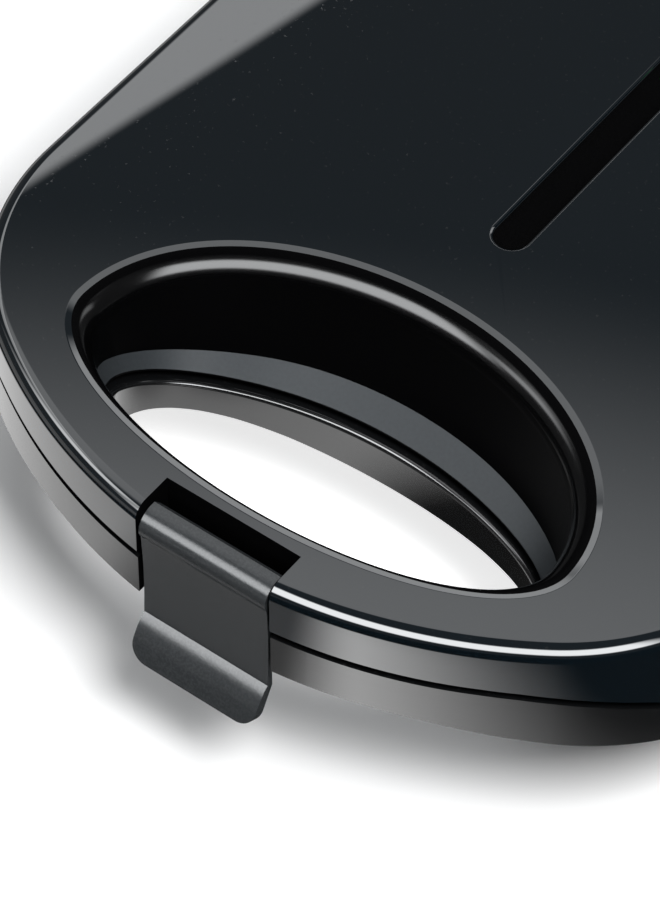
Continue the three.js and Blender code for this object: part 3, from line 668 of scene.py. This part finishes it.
# %% Profile of the latch
latch = {"half": 18.4, "plate": 2.6, "top_drop": 2, "bend": 5, "sunk": 1, "below_base": 7.4}
barrel = {"radius": 3.8, "bore": 1.9, "behind": 1.8, "chamfer": 0.8}
dish = {"depth": 0.9, "at_ends": 0.85, "in_middle": 0.5, "from_bend": 2.9, "from_crease": 0.6}
nose = {"reach": 2, "height": 2.4, "face": 1.2}
flare = {"length": 11.7, "angle": math.radians(29), "corner": 5}
# How far in, and how far below the bend's end, the front steps back to where the dish begins.
bend_step = [(0.12, 0.9), (0.55, 1.9)]
# Along the tab from its crease, and how far its front stands out of the straight line.
tab_crown = [(0.7, 0.15), (3, 0.6), (6, 0.7), (9, 0.4)]
latch_outer = front_y + latch["sunk"]
latch_crease = handle_underside - latch["below_base"]


def along_flare(distance, depth=0):
    slant, rise = math.sin(flare["angle"]), math.cos(flare["angle"])
    return latch_outer - distance * slant + depth * rise, latch_crease - distance * rise - depth * slant


def dished_front(high, low, steps=12):
    points = []
    for i in range(steps + 1):
        share = i / steps
        hollow = dish["at_ends"] + dish["in_middle"] * math.sin(math.pi * share)
        points.append((latch_outer + dish["depth"] * hollow, high + (low - high) * share))
    return points


def latch_profile(bend_steps=14):
    inner = latch_outer + latch["plate"]
    top = lid_top - latch["top_drop"]
    bend_end = top - latch["bend"]
    back = latch_axis.y + barrel["behind"]
    barrel_low = latch_axis.z - barrel["radius"]
    nose_top = handle_underside - seat
    points = [(back, top - barrel["chamfer"]), (back - barrel["chamfer"], top)]
    points += arc(latch_outer + latch["bend"], bend_end, latch["bend"], QUARTER, math.pi, bend_steps)
    points += [(latch_outer + step, bend_end - below) for step, below in bend_step]
    points += dished_front(bend_end - dish["from_bend"], latch_crease + dish["from_crease"])
    points += [along_flare(distance, -crown) for distance, crown in tab_crown]
    points += [along_flare(flare["length"]), along_flare(flare["length"], latch["plate"])]
    points += [(inner, latch_crease - latch["plate"] * math.tan(flare["angle"] / 2))]
    points += [(inner, nose_top - nose["height"]), (inner + nose["reach"], nose_top - nose["face"])]
    points += [(inner + nose["reach"], nose_top), (inner, nose_top)]
    return points + [(inner, barrel_low), (latch_axis.y, barrel_low), (back, latch_axis.z)]


print("latch profile:", len(latch_profile()), "points")

# %% [markdown]
# The tab's two lower corners are rounded by cutters that lean with it. Real clips are never sharp, so
# the long edges get a small bevel as well, which also catches a thin line of light.

# %% Latch
clip_bevel = {"width": 0.6, "segments": 3, "from_angle": 25, "sharp_angle": 50}
corner_cut = {"beside": 1, "below": 4, "through": 3, "steps": 12}


def tab_corner_cut(side):
    radius = flare["corner"]
    centre = side * (latch["half"] - radius)
    beside = side * (latch["half"] + corner_cut["beside"])
    start, end = (0, -QUARTER) if side > 0 else (math.pi, 3 * QUARTER)
    outline = arc(centre, radius, radius, start, end, corner_cut["steps"])
    outline += [(centre, -corner_cut["below"]), (beside, -corner_cut["below"]), (beside, radius)]
    rings = []
    for depth in (-corner_cut["through"], latch["plate"] + corner_cut["through"]):
        rings.append([(x, *along_flare(flare["length"] - up, depth)) for x, up in outline])
    return loft(rings)


def latch_rod(radius, half):
    return rod_along_x(latch_axis.y, latch_axis.z, radius, -half, half)


def make_latch():
    half = latch["half"]
    clip = prism_along_x(latch_profile(), -half, half, "latch_clip")
    combine(clip, [latch_rod(barrel["radius"], half)], "UNION")
    cuts = [latch_rod(barrel["bore"], half + corner_cut["beside"]), tab_corner_cut(-1), tab_corner_cut(1)]
    combine(clip, cuts, "DIFFERENCE")
    edges = clip.modifiers.new("moulded edges", "BEVEL")
    edges.width = clip_bevel["width"] * MM
    edges.segments = clip_bevel["segments"]
    edges.limit_method = "ANGLE"
    edges.angle_limit = math.radians(clip_bevel["from_angle"])
    apply_modifiers(clip)
    return settle(clip, clip_bevel["sharp_angle"])


clip = make_latch()
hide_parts("latch")
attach(clip, "latch")
print("latch:", len(clip.data.vertices), "vertices")

# %% [markdown]
# Finishes. Each one is a small node tree. Writing it as arithmetic keeps it readable: a socket is
# wrapped in a class whose operators add the Math nodes, and every other node comes from one method.
# A noise's scale is in waves to the metre, because the texture space is the object's own, in metres.

# %% Arithmetic on sockets
class Flow:
    """A socket of a node tree that can be added, subtracted and multiplied."""

    def __init__(self, finish, socket):
        self.finish = finish
        self.socket = socket

    def maths(self, operation, *values):
        return self.finish.node("ShaderNodeMath", {"operation": operation}, dict(enumerate(values)))

    def __add__(self, other):
        return self.maths("ADD", self, other)

    def __radd__(self, other):
        return self.maths("ADD", other, self)

    def __sub__(self, other):
        return self.maths("SUBTRACT", self, other)

    def __rsub__(self, other):
        return self.maths("SUBTRACT", other, self)

    def __mul__(self, other):
        return self.maths("MULTIPLY", self, other)

    def __rmul__(self, other):
        return self.maths("MULTIPLY", other, self)

    def between(self, low, high):
        """0 below low, 1 above high, and a smooth rise between them."""
        settings = {"interpolation_type": "SMOOTHSTEP"}
        inputs = {"Value": self, "From Min": low, "From Max": high}
        return self.finish.node("ShaderNodeMapRange", settings, inputs)

    def band(self, rise, fall):
        """1 from the end of the rise to the start of the fall, and 0 outside both."""
        return self.between(*rise) * (1 - self.between(*fall))


class Finish:
    """A node tree, with short ways of adding to it."""

    def __init__(self, tree):
        self.tree = tree
        tree.nodes.clear()

    def node(self, kind, settings=None, inputs=None, output=0):
        """Adds a node: its settings first, then the values or links of its sockets."""
        made = self.tree.nodes.new(kind)
        for name, value in (settings or {}).items():
            setattr(made, name, value)
        for name, value in (inputs or {}).items():
            if isinstance(value, Flow):
                self.tree.links.new(value.socket, made.inputs[name])
            else:
                made.inputs[name].default_value = value
        return Flow(self, made.outputs[output]) if made.outputs else None

    def place(self):
        return self.node("ShaderNodeTexCoord", output="Object")

    def part(self, vector, axis):
        """One of a vector's numbers: X, Y or Z."""
        return self.node("ShaderNodeSeparateXYZ", None, {"Vector": vector}, axis)

    def stretched(self, scale):
        inputs = {0: self.place(), 1: scale}
        return self.node("ShaderNodeVectorMath", {"operation": "MULTIPLY"}, inputs)

    def noise(self, scale, detail=2, vector=None, roughness=0.5):
        inputs = {"Vector": vector or self.place(), "Scale": scale}
        inputs.update({"Detail": detail, "Roughness": roughness})
        return self.node("ShaderNodeTexNoise", None, inputs)

    def blend(self, share, first, second):
        """A mix of two colours, which are sockets 6 and 7 of a Mix node."""
        inputs = {0: share, 6: (*first, 1), 7: (*second, 1)}
        return self.node("ShaderNodeMix", {"data_type": "RGBA"}, inputs, output=2)

    def bump(self, height, distance, strength):
        inputs = {"Height": height, "Distance": distance, "Strength": strength}
        return self.node("ShaderNodeBump", None, inputs)

    def ray(self, kind):
        return self.node("ShaderNodeLightPath", output=kind)

    def mirrored(self):
        return self.ray("Is Glossy Ray") + self.ray("Is Transmission Ray")

    def glow(self, strength):
        return self.node("ShaderNodeEmission", None, {"Strength": strength})

    def surface(self, **sockets):
        """A Principled shader. Its sockets are written in Python's way, such as coat_weight."""
        inputs = {}
        for name, value in sockets.items():
            inputs[name.replace("_", " ").title().replace("Ior", "IOR")] = value
        self.wear(self.node("ShaderNodeBsdfPrincipled", None, inputs))

    def wear(self, shader, kind="ShaderNodeOutputMaterial"):
        self.node(kind, None, {"Surface": shader})


def new_finish(name):
    material = bpy.data.materials.new(name)
    material.use_nodes = True
    return material, Finish(material.node_tree)


print("arithmetic ready")

# %% [markdown]
# The lid is polished black plastic. A mirror this dark shows only what it reflects, so its own colour
# is close to zero. Two things keep it from looking like glass: moulding leaves very long, shallow
# waves, and dust and handling blur the gloss a little in places.

# %% Gloss black
def gloss_black():
    material, finish = new_finish("gloss_black")
    waves = finish.noise(14, 1)
    haze = finish.noise(38, 4).between(0.35, 0.75)
    dust = finish.noise(900, 2).between(0.66, 0.78)
    finish.surface(
        base_color=finish.blend(dust * 0.25, (0.0012, 0.0035, 0.0055), (0.03, 0.03, 0.031)),
        roughness=0.003 + haze * 0.007 + dust * 0.08,
        ior=1.6,
        coat_weight=1.0,
        coat_roughness=0.003,
        normal=finish.bump(waves, 0.0002, 0.07),
    )
    return material


print("gloss black ready")

# %% [markdown]
# Inside the scoop the same moulding is textured. Its wall gets a black that hardly mirrors anything,
# which paints it as dark as shade. A clear coat is laid on only at the height of the rounded shoulder,
# so that one soft line of light falls there and nowhere else: a painted highlight. The ledge below is
# satin and painted lighter than the lid, which stands in for the light it catches. The latch's recess
# and the groove's floor are duller still and the darkest places of all, so they get painted shade: a
# finish with almost no reflection.

# %% Textured blacks
# The clear coat lies only between these heights, on the shoulder, so it places a painted highlight there.
shoulder_highlight_rises = (0.077, 0.079)
shoulder_highlight_falls = (0.0809, 0.0813)


# Painted shade on the wall, a black that reflects almost nothing, and a painted highlight from the coat
# band.
def scoop_black():
    material, finish = new_finish("scoop_black")
    grain = finish.noise(1300, 2)
    height = finish.part(finish.place(), "Z")
    finish.surface(
        base_color=finish.blend(grain, (0.0008, 0.0008, 0.0009), (0.0016, 0.0016, 0.0018)),
        roughness=0.34 + grain * 0.1,
        ior=1.06,
        coat_weight=height.band(shoulder_highlight_rises, shoulder_highlight_falls),
        coat_roughness=0.16,
        normal=finish.bump(grain, 0.00002, 0.2),
    )
    return material


# The ledge is satin, and its lighter colour is painted light: it stands in for the light the ledge
# catches.
def satin_lit_ledge():
    material, finish = new_finish("satin_lit_ledge")
    grain = finish.noise(1100, 3)
    finish.surface(
        base_color=finish.blend(grain, (0.02, 0.023, 0.026), (0.032, 0.036, 0.039)),
        roughness=0.36 + grain * 0.1,
        ior=1.35,
        normal=finish.bump(grain, 0.00003, 0.3),
    )
    return material


# Painted shade: the latch's recess and the groove's floor get a black that reflects almost nothing, so
# they stay as dark as deep shade.
def shade_painted_black():
    material, finish = new_finish("shade_painted_black")
    grain = finish.noise(1300, 2)
    finish.surface(
        base_color=finish.blend(grain, (0.0008, 0.0008, 0.0009), (0.0018, 0.0018, 0.0019)),
        roughness=0.5 + grain * 0.2,
        ior=1.05,
        normal=finish.bump(grain, 0.00006, 0.5),
    )
    return material


print("textured blacks ready")

# %% [markdown]
# The base is the same plastic from a mould that was less well polished, so it mirrors softly and shows
# scuffs. The latch is matte with a visible grain: a fine one for its colour, and a coarse one that
# moves the gloss about, as handling does.

# %% Base and latch
def semi_gloss_black():
    material, finish = new_finish("base_black")
    waves = finish.noise(20, 2)
    haze = finish.noise(60, 4).between(0.3, 0.75)
    scuff = finish.noise(700, 3).between(0.62, 0.75)
    finish.surface(
        base_color=finish.blend(scuff * 0.3, (0.0045, 0.0048, 0.0052), (0.03, 0.03, 0.031)),
        roughness=0.12 + haze * 0.06 + scuff * 0.08,
        ior=1.6,
        coat_weight=0.8,
        coat_roughness=0.1,
        normal=finish.bump(waves, 0.0003, 0.12),
    )
    return material


def latch_matte():
    material, finish = new_finish("latch_matte")
    grain = finish.noise(1500, 3, roughness=0.6)
    coarse = finish.noise(420, 2)
    finish.surface(
        base_color=finish.blend(grain.between(0.35, 0.7), (0.023, 0.0255, 0.0275), (0.034, 0.037, 0.039)),
        roughness=0.2 + coarse * 0.08,
        ior=1.42,
        coat_weight=0.35,
        coat_roughness=0.16,
        normal=finish.bump(grain + coarse * 0.3, 0.00008, 0.35),
    )
    return material


print("base and latch finishes ready")

# %% [markdown]
# One moulding wears several finishes, so each face is given the number of a material slot by its place
# and by how far it faces up. That is done after the cuts, on the finished mesh, because a boolean makes
# new faces. The rules use the same sizes that made the cuts, plus a small margin.

# %% Finishes on the skins
POLISHED, WALL, PAINTED_SHADE, LEDGE = range(4)
margin = 0.1
facing = {"ledge": 0.25, "recess": 0.5}
groove_zone = {"narrower": 0.3, "deeper": 0.5, "from_top": 0.7}


def dress(names, *materials):
    for name in names:
        piece = nodes[name] if isinstance(name, str) else name
        piece.data.materials.clear()
        for material in materials:
            piece.data.materials.append(material)


def sort_faces(piece, zone_of):
    for face in piece.data.polygons:
        centre = face.center / MM
        face.material_index = zone_of(centre.x, centre.y, centre.z, face.normal.z)


def in_eye(x, y):
    reach = eye_edge["back"] if y > eye_y else eye_edge["front"]
    return math.hypot(x / (eye_edge["half"] + margin), (y - eye_y) / (reach + margin)) < 1


def in_recess(x, y, depth):
    return abs(x) < recess["half"] + margin and y < front_y + depth + margin


def in_groove(x, y, z):
    inside = abs(x) < groove["half"] - groove_zone["narrower"] and y > mouth_front
    floor = lid_top - groove["depth"] - groove_zone["deeper"]
    return inside and floor < z < lid_top - groove_zone["from_top"]


def lid_zone(x, y, z, upward):
    if in_eye(x, y) and z < lid_top - lip["drop"] / 2:
        ledge_end = parting_at(y) + gap["lid"] + ledge["thickness"] + ledge["rise"]
        return LEDGE if upward > facing["ledge"] and z < ledge_end else WALL
    if in_recess(x, y, recess["depth"]) and upward < facing["recess"]:
        return PAINTED_SHADE
    return PAINTED_SHADE if in_groove(x, y, z) else POLISHED


def base_zone(x, y, z, upward):
    """The base wears two finishes: 0 is its outside, and 1 the walls of the recess, in the black of
    painted shade.
    """
    return 1 if in_recess(x, y, recess["base_depth"]) and abs(upward) < facing["recess"] else 0


painted_shade_finish = shade_painted_black()
dress([lid_skin], gloss_black(), scoop_black(), painted_shade_finish, satin_lit_ledge())
dress([base_skin], semi_gloss_black(), painted_shade_finish)
dress([clip], latch_matte())
sort_faces(lid_skin, lid_zone)
sort_faces(base_skin, base_zone)
for skin in (lid_skin, base_skin):
    zones = [face.material_index for face in skin.data.polygons]
    print(skin.name, "faces for each slot:", [zones.count(zone) for zone in sorted(set(zones))])

# %% [markdown]
# Inside, every piece has its own job and so its own finish. The liners are plain moulded black with a
# spark-eroded grain. The plates are cast and have a speckled non-stick coat, which is never quite
# level, so a wider wave under the speckle gives the look of orange peel. Rubber feet and the cord's
# gland are matt, with a pale bloom here and there.

# %% Liners, plates and rubber
def inner_black():
    material, finish = new_finish("inner_black")
    grain = finish.noise(1300, 3)
    cloud = finish.noise(45, 3)
    finish.surface(
        base_color=finish.blend(cloud, (0.022, 0.022, 0.024), (0.034, 0.034, 0.036)),
        roughness=0.42 + grain * 0.18,
        normal=finish.bump(grain, 0.0001, 0.5),
    )
    return material


def non_stick():
    material, finish = new_finish("non_stick")
    speckle = finish.noise(950, 2).between(0.6, 0.72)
    orange_peel = finish.noise(330, 3)
    worn = finish.noise(30, 4).between(0.5, 0.8)
    finish.surface(
        base_color=finish.blend(speckle * 0.6 + worn * 0.2, (0.028, 0.027, 0.026), (0.12, 0.115, 0.11)),
        roughness=0.3 + orange_peel * 0.16 + worn * 0.06,
        coat_weight=0.25,
        coat_roughness=0.2,
        normal=finish.bump(orange_peel, 0.00012, 0.6),
    )
    return material


def rubber_black():
    material, finish = new_finish("rubber_black")
    grain = finish.noise(1100, 3)
    bloom = finish.noise(90, 4).between(0.45, 0.8)
    finish.surface(
        base_color=finish.blend(bloom, (0.016, 0.016, 0.017), (0.04, 0.04, 0.041)),
        roughness=0.58 + grain * 0.2,
        normal=finish.bump(grain, 0.0001, 0.6),
    )
    return material


print("liners, plates and rubber ready")

# %% [markdown]
# The trays below the heating tubes are rolled aluminium, so their lines run one way: the noise is
# stretched until its spots become streaks. Screws, pins and tubes are zinc-plated steel, with faint
# turned lines and a warmer tarnish in patches.

# %% Metals
def bright_aluminium():
    material, finish = new_finish("bright_aluminium")
    lines = finish.noise(220, 4, vector=finish.stretched((1, 22, 1)))
    cloud = finish.noise(25, 3)
    finish.surface(
        base_color=finish.blend(cloud, (0.72, 0.73, 0.75), (0.84, 0.85, 0.86)),
        metallic=1.0,
        roughness=0.2 + lines * 0.22,
        normal=finish.bump(lines, 0.00005, 0.5),
    )
    return material


def plated_steel():
    material, finish = new_finish("steel")
    turned_lines = finish.noise(500, 3)
    tarnish = finish.noise(70, 4).between(0.45, 0.8)
    finish.surface(
        base_color=finish.blend(tarnish, (0.6, 0.61, 0.63), (0.44, 0.43, 0.41)),
        metallic=1.0,
        roughness=0.22 + turned_lines * 0.16 + tarnish * 0.1,
        normal=finish.bump(turned_lines, 0.00004, 0.4),
    )
    return material


print("metals ready")

# %% [markdown]
# The two lenses are tinted plastic that lets some light through, and fine ribs on them spread the
# lamp's glow. The lamps are thin glass. The terminal block and the thermal fuse are unglazed ceramic,
# chalky and slightly speckled.

# %% Lenses, glass and ceramic
def lens(name, light, deep):
    material, finish = new_finish(name)
    cloud = finish.noise(600, 2)
    ribs = finish.noise(260, 1, vector=finish.stretched((8, 1, 1)))
    finish.surface(
        base_color=finish.blend(cloud, deep, light),
        roughness=0.06 + cloud * 0.05,
        transmission_weight=0.35,
        coat_weight=0.6,
        normal=finish.bump(ribs, 0.0001, 0.4),
    )
    return material


def lens_red():
    return lens("lens_red", light=(0.6, 0.03, 0.025), deep=(0.3, 0.008, 0.008))


def lens_green():
    return lens("lens_green", light=(0.04, 0.42, 0.1), deep=(0.01, 0.2, 0.04))


def lamp_glass():
    material, finish = new_finish("lamp_glass")
    streak = finish.noise(300, 2)
    finish.surface(
        base_color=finish.blend(streak, (0.86, 0.88, 0.88), (0.95, 0.96, 0.96)),
        roughness=0.02 + streak * 0.04,
        transmission_weight=0.9,
    )
    return material


def ceramic():
    material, finish = new_finish("ceramic")
    speck = finish.noise(800, 3).between(0.55, 0.75)
    cloud = finish.noise(60, 3)
    finish.surface(
        base_color=finish.blend(speck * 0.5 + cloud * 0.3, (0.8, 0.78, 0.72), (0.6, 0.57, 0.5)),
        roughness=0.5 + cloud * 0.2,
        normal=finish.bump(speck, 0.00008, 0.5),
    )
    return material


print("lenses, glass and ceramic ready")

# %% [markdown]
# Every other node of the frame stays as it is and only changes its finish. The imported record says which
# material slot each one belongs to, so a loop over the slots reaches them all.

# %% Finishes on the frame
makers = {
    "inner_black": inner_black,
    "non_stick": non_stick,
    "bright_aluminium": bright_aluminium,
    "steel": plated_steel,
    "lamp_glass": lamp_glass,
    "ceramic": ceramic,
    "rubber_black": rubber_black,
    "lens_red": lens_red,
    "lens_green": lens_green,
}
slot_of = {row["node"]: row["material_slot"] for row in frame["record"]["subparts"]}
for slot_name, make in makers.items():
    wearing = [name for name in nodes if slot_of[name] == slot_name]
    dress(wearing, make())
    print(slot_name, "on", len(wearing), "nodes")

# %% [markdown]
# The studio floor is white paper that keeps the soft shadow. The camera sees it a little brighter far
# from the object, as in a studio where the background is lit by itself. Through the hand hole it gets
# painted light, which lifts the shadow under the handle to white. The glossy sides show little but the
# floor beside them, so what they mirror is set separately: a strip along the bow of the handle, bright
# to the right of the latch and dim below it, and a patch that the inner wall of the hand hole mirrors.
# The floor's places are in metres, as its nodes see them.

# %% Floor
FLOOR_HALF = 4
PAPER = (0.88, 0.88, 0.88, 1)
# The middle of the bow at the handle. Distances from here run in rings along the bow.
BOW_CENTRE = (0, 0.0175, 0)
HOLE_SEEN = {"x": -0.0235, "y": -0.043, "half": 0.066, "reach": 0.024}


def painted_light_through_hole(x, y):
    """1 on the floor that shows through the hand hole, as an ellipse with a soft edge, where painted
    light lifts the shadow.
    """
    across = (x - HOLE_SEEN["x"]) * (1 / HOLE_SEEN["half"])
    along = (y - HOLE_SEEN["y"]) * (1 / HOLE_SEEN["reach"])
    return 1 - (across * across + along * along).between(1.2, 2.2)


def floor_in_mirrors(x, y, radius):
    """How bright the floor is where something glossy mirrors it."""
    strip = radius.band((0.146, 0.158), (0.198, 0.225))
    along_strip = 0.2 + x.between(0.006, 0.042) * 2.2 + (1 - x.between(-0.08, -0.045)) * 0.55
    shaded_right = (x * 0.8 + y * -0.1).between(0.035, 0.12)
    below_hole = x.band((-0.09, -0.045), (-0.028, -0.006)) * y.between(-0.106, -0.092)
    inside_bow = 1 - radius.between(0.13, 0.14)
    dark_front = x.between(-0.25, -0.12) * (1 - y.between(-0.1, 0.05))
    far_away = radius.between(0.26, 0.34) * (1 - dark_front)
    beside = along_strip * strip * (1 - shaded_right)
    return beside + below_hole * inside_bow * 1.05 + far_away * 0.4 + 0.02


def floor_plane():
    mesh_data = bmesh.new()
    bmesh.ops.create_grid(mesh_data, x_segments=1, y_segments=1, size=FLOOR_HALF)
    mesh = bpy.data.meshes.new("studio_floor")
    mesh_data.to_mesh(mesh)
    mesh_data.free()
    plane = bpy.data.objects.new("studio_floor", mesh)
    bpy.context.scene.collection.objects.link(plane)
    return plane


def floor_finish():
    material, finish = new_finish("studio_floor")
    x, y = (finish.part(finish.place(), axis) for axis in "XY")
    to_centre = {0: finish.place(), 1: BOW_CENTRE}
    radius = finish.node("ShaderNodeVectorMath", {"operation": "DISTANCE"}, to_centre, "Value")
    # An evenly lit backdrop far from the object, and painted light on the floor's shadow through the hand
    # hole.
    backdrop_and_painted_light = painted_light_through_hole(x, y) * 0.75 + radius.between(0.14, 0.32) * 0.7
    paper = finish.node("ShaderNodeBsdfDiffuse", None, {"Color": PAPER})
    lift = finish.glow(finish.ray("Is Camera Ray") * backdrop_and_painted_light)
    seen = finish.node("ShaderNodeAddShader", None, {0: paper, 1: lift})
    reflected = finish.glow(floor_in_mirrors(x, y, radius))
    choice = {0: finish.mirrored(), 1: seen, 2: reflected}
    finish.wear(finish.node("ShaderNodeMixShader", None, choice))
    return material


floor = floor_plane()
floor.data.materials.append(floor_finish())
print("floor:", 2 * FLOOR_HALF, "m wide")

# %% [markdown]
# What a glossy black object looks like is decided by its surroundings, so the room is a calm one: dark,
# with a few plain areas of light, and every edge between them is there to be mirrored once. The light
# overhead turns the flat lid from black to grey, the low one lights the lip of the hand hole, the front
# one draws the white line along the rounded rim, the side one goes on with it on the left, and a card
# far back makes the pale corner of the lid. Anything that doesn't mirror gets soft light from above,
# and the camera sees white.

# %% World
PICTURE = {"width": 660, "height": 900}
# Two pixels of the photograph on the edge of the pale corner.
CARD_EDGE = ((12, 195), (128, 121))
AMBIENT = (0.97, 0.985, 1, 1)


def mirrored_edge(first, second):
    """The plane through two pixels of the portrait, after the lid's flat top has mirrored them."""
    right, up, back = aim_axes(VIEW_AZIMUTH, VIEW_ELEVATION, VIEW_ROLL)
    focal = VIEW_LENS / SENSOR * PICTURE["height"]
    rays = []
    for x, y in (first, second):
        across = (x - PICTURE["width"] / 2) / focal
        down = (y - PICTURE["height"] / 2) / focal
        ray = right * across - up * down - back
        rays.append(Vector((ray.x, ray.y, -ray.z)).normalized())
    return rays[0].cross(rays[1]).normalized()


def lights_in_mirrors(x, y, z):
    """How bright the room is in a direction. Azimuths count degrees from the front to the right."""
    azimuth = x.maths("ARCTAN2", x, y * -1) * (360 / TURN)
    behind = (x * -0.6 + y * 0.8).between(0.0, 0.25)
    far_left = azimuth.band((-139, -128), (0, 10))
    edge = mirrored_edge(*CARD_EDGE)
    above_edge = (x * edge.x + y * edge.y + z * edge.z).between(-0.0015, 0.0015)
    leaning = z - (x * 0.8025 + y * 0.5967) * 0.08
    overhead = leaning.between(0.735, 0.795) * (1 - z.between(0.93, 0.955)) * behind * 1.1
    low = z.band((0.4, 0.5), (0.64, 0.69)) * behind * (1 - far_left) * 1.9
    front = azimuth.band((-46, -33), (66, 84)) * z.band((0.28, 0.42), (0.78, 0.87)) * 9
    side = azimuth.band((-85, -60), (-50, -40)) * z.band((0.42, 0.5), (0.62, 0.7)) * 5
    card = above_edge * behind * z.band((0.65, 0.68), (0.735, 0.75)) * 1.9
    return 0.1 + overhead + low + front + side + card


def paint_world():
    world = bpy.data.worlds.new("studio")
    bpy.context.scene.world = world
    world.use_nodes = True
    finish = Finish(world.node_tree)
    direction = finish.node("ShaderNodeTexCoord", output="Generated")
    x, y, z = (finish.part(direction, axis) for axis in "XYZ")
    mirrored = finish.mirrored()
    seen = finish.ray("Is Camera Ray")
    soft = 0.1 + z.between(0.55, 0.95) * 1.05
    strength = mirrored * lights_in_mirrors(x, y, z) + seen + (1 - mirrored) * (1 - seen) * soft
    inputs = {"Color": AMBIENT, "Strength": strength}
    finish.wear(finish.node("ShaderNodeBackground", None, inputs), "ShaderNodeOutputWorld")
    return world


world = paint_world()
print("world:", len(world.node_tree.nodes), "nodes")

# %% [markdown]
# One soft panel gives the shadow its direction: it stands high at the front right, so the shadow hugs
# the base and lies to the left and behind, and light falls through the hand hole on the floor. It is
# hidden from mirrors, because a hard bright square on the lid would look like a window.

# %% Light panel
PANEL_TARGET = Vector((0, 0, 50))


def add_panel(name, azimuth, elevation, distance, width, height, power):
    data = bpy.data.lights.new(name, "AREA")
    data.shape = "RECTANGLE"
    data.size = width
    data.size_y = height
    data.energy = power
    panel = bpy.data.objects.new(name, data)
    bpy.context.scene.collection.objects.link(panel)
    right, up, back = aim_axes(math.radians(azimuth), math.radians(elevation))
    panel.matrix_world = standing_at(PANEL_TARGET * MM + back * distance, (right, up, back))
    panel.visible_glossy = False
    return panel


key = add_panel("key_panel", azimuth=60, elevation=58, distance=1.6, width=0.5, height=0.5, power=28)
bpy.context.scene.view_settings.view_transform = "Standard"
print("key panel in metres:", [round(value, 2) for value in key.matrix_world.translation])
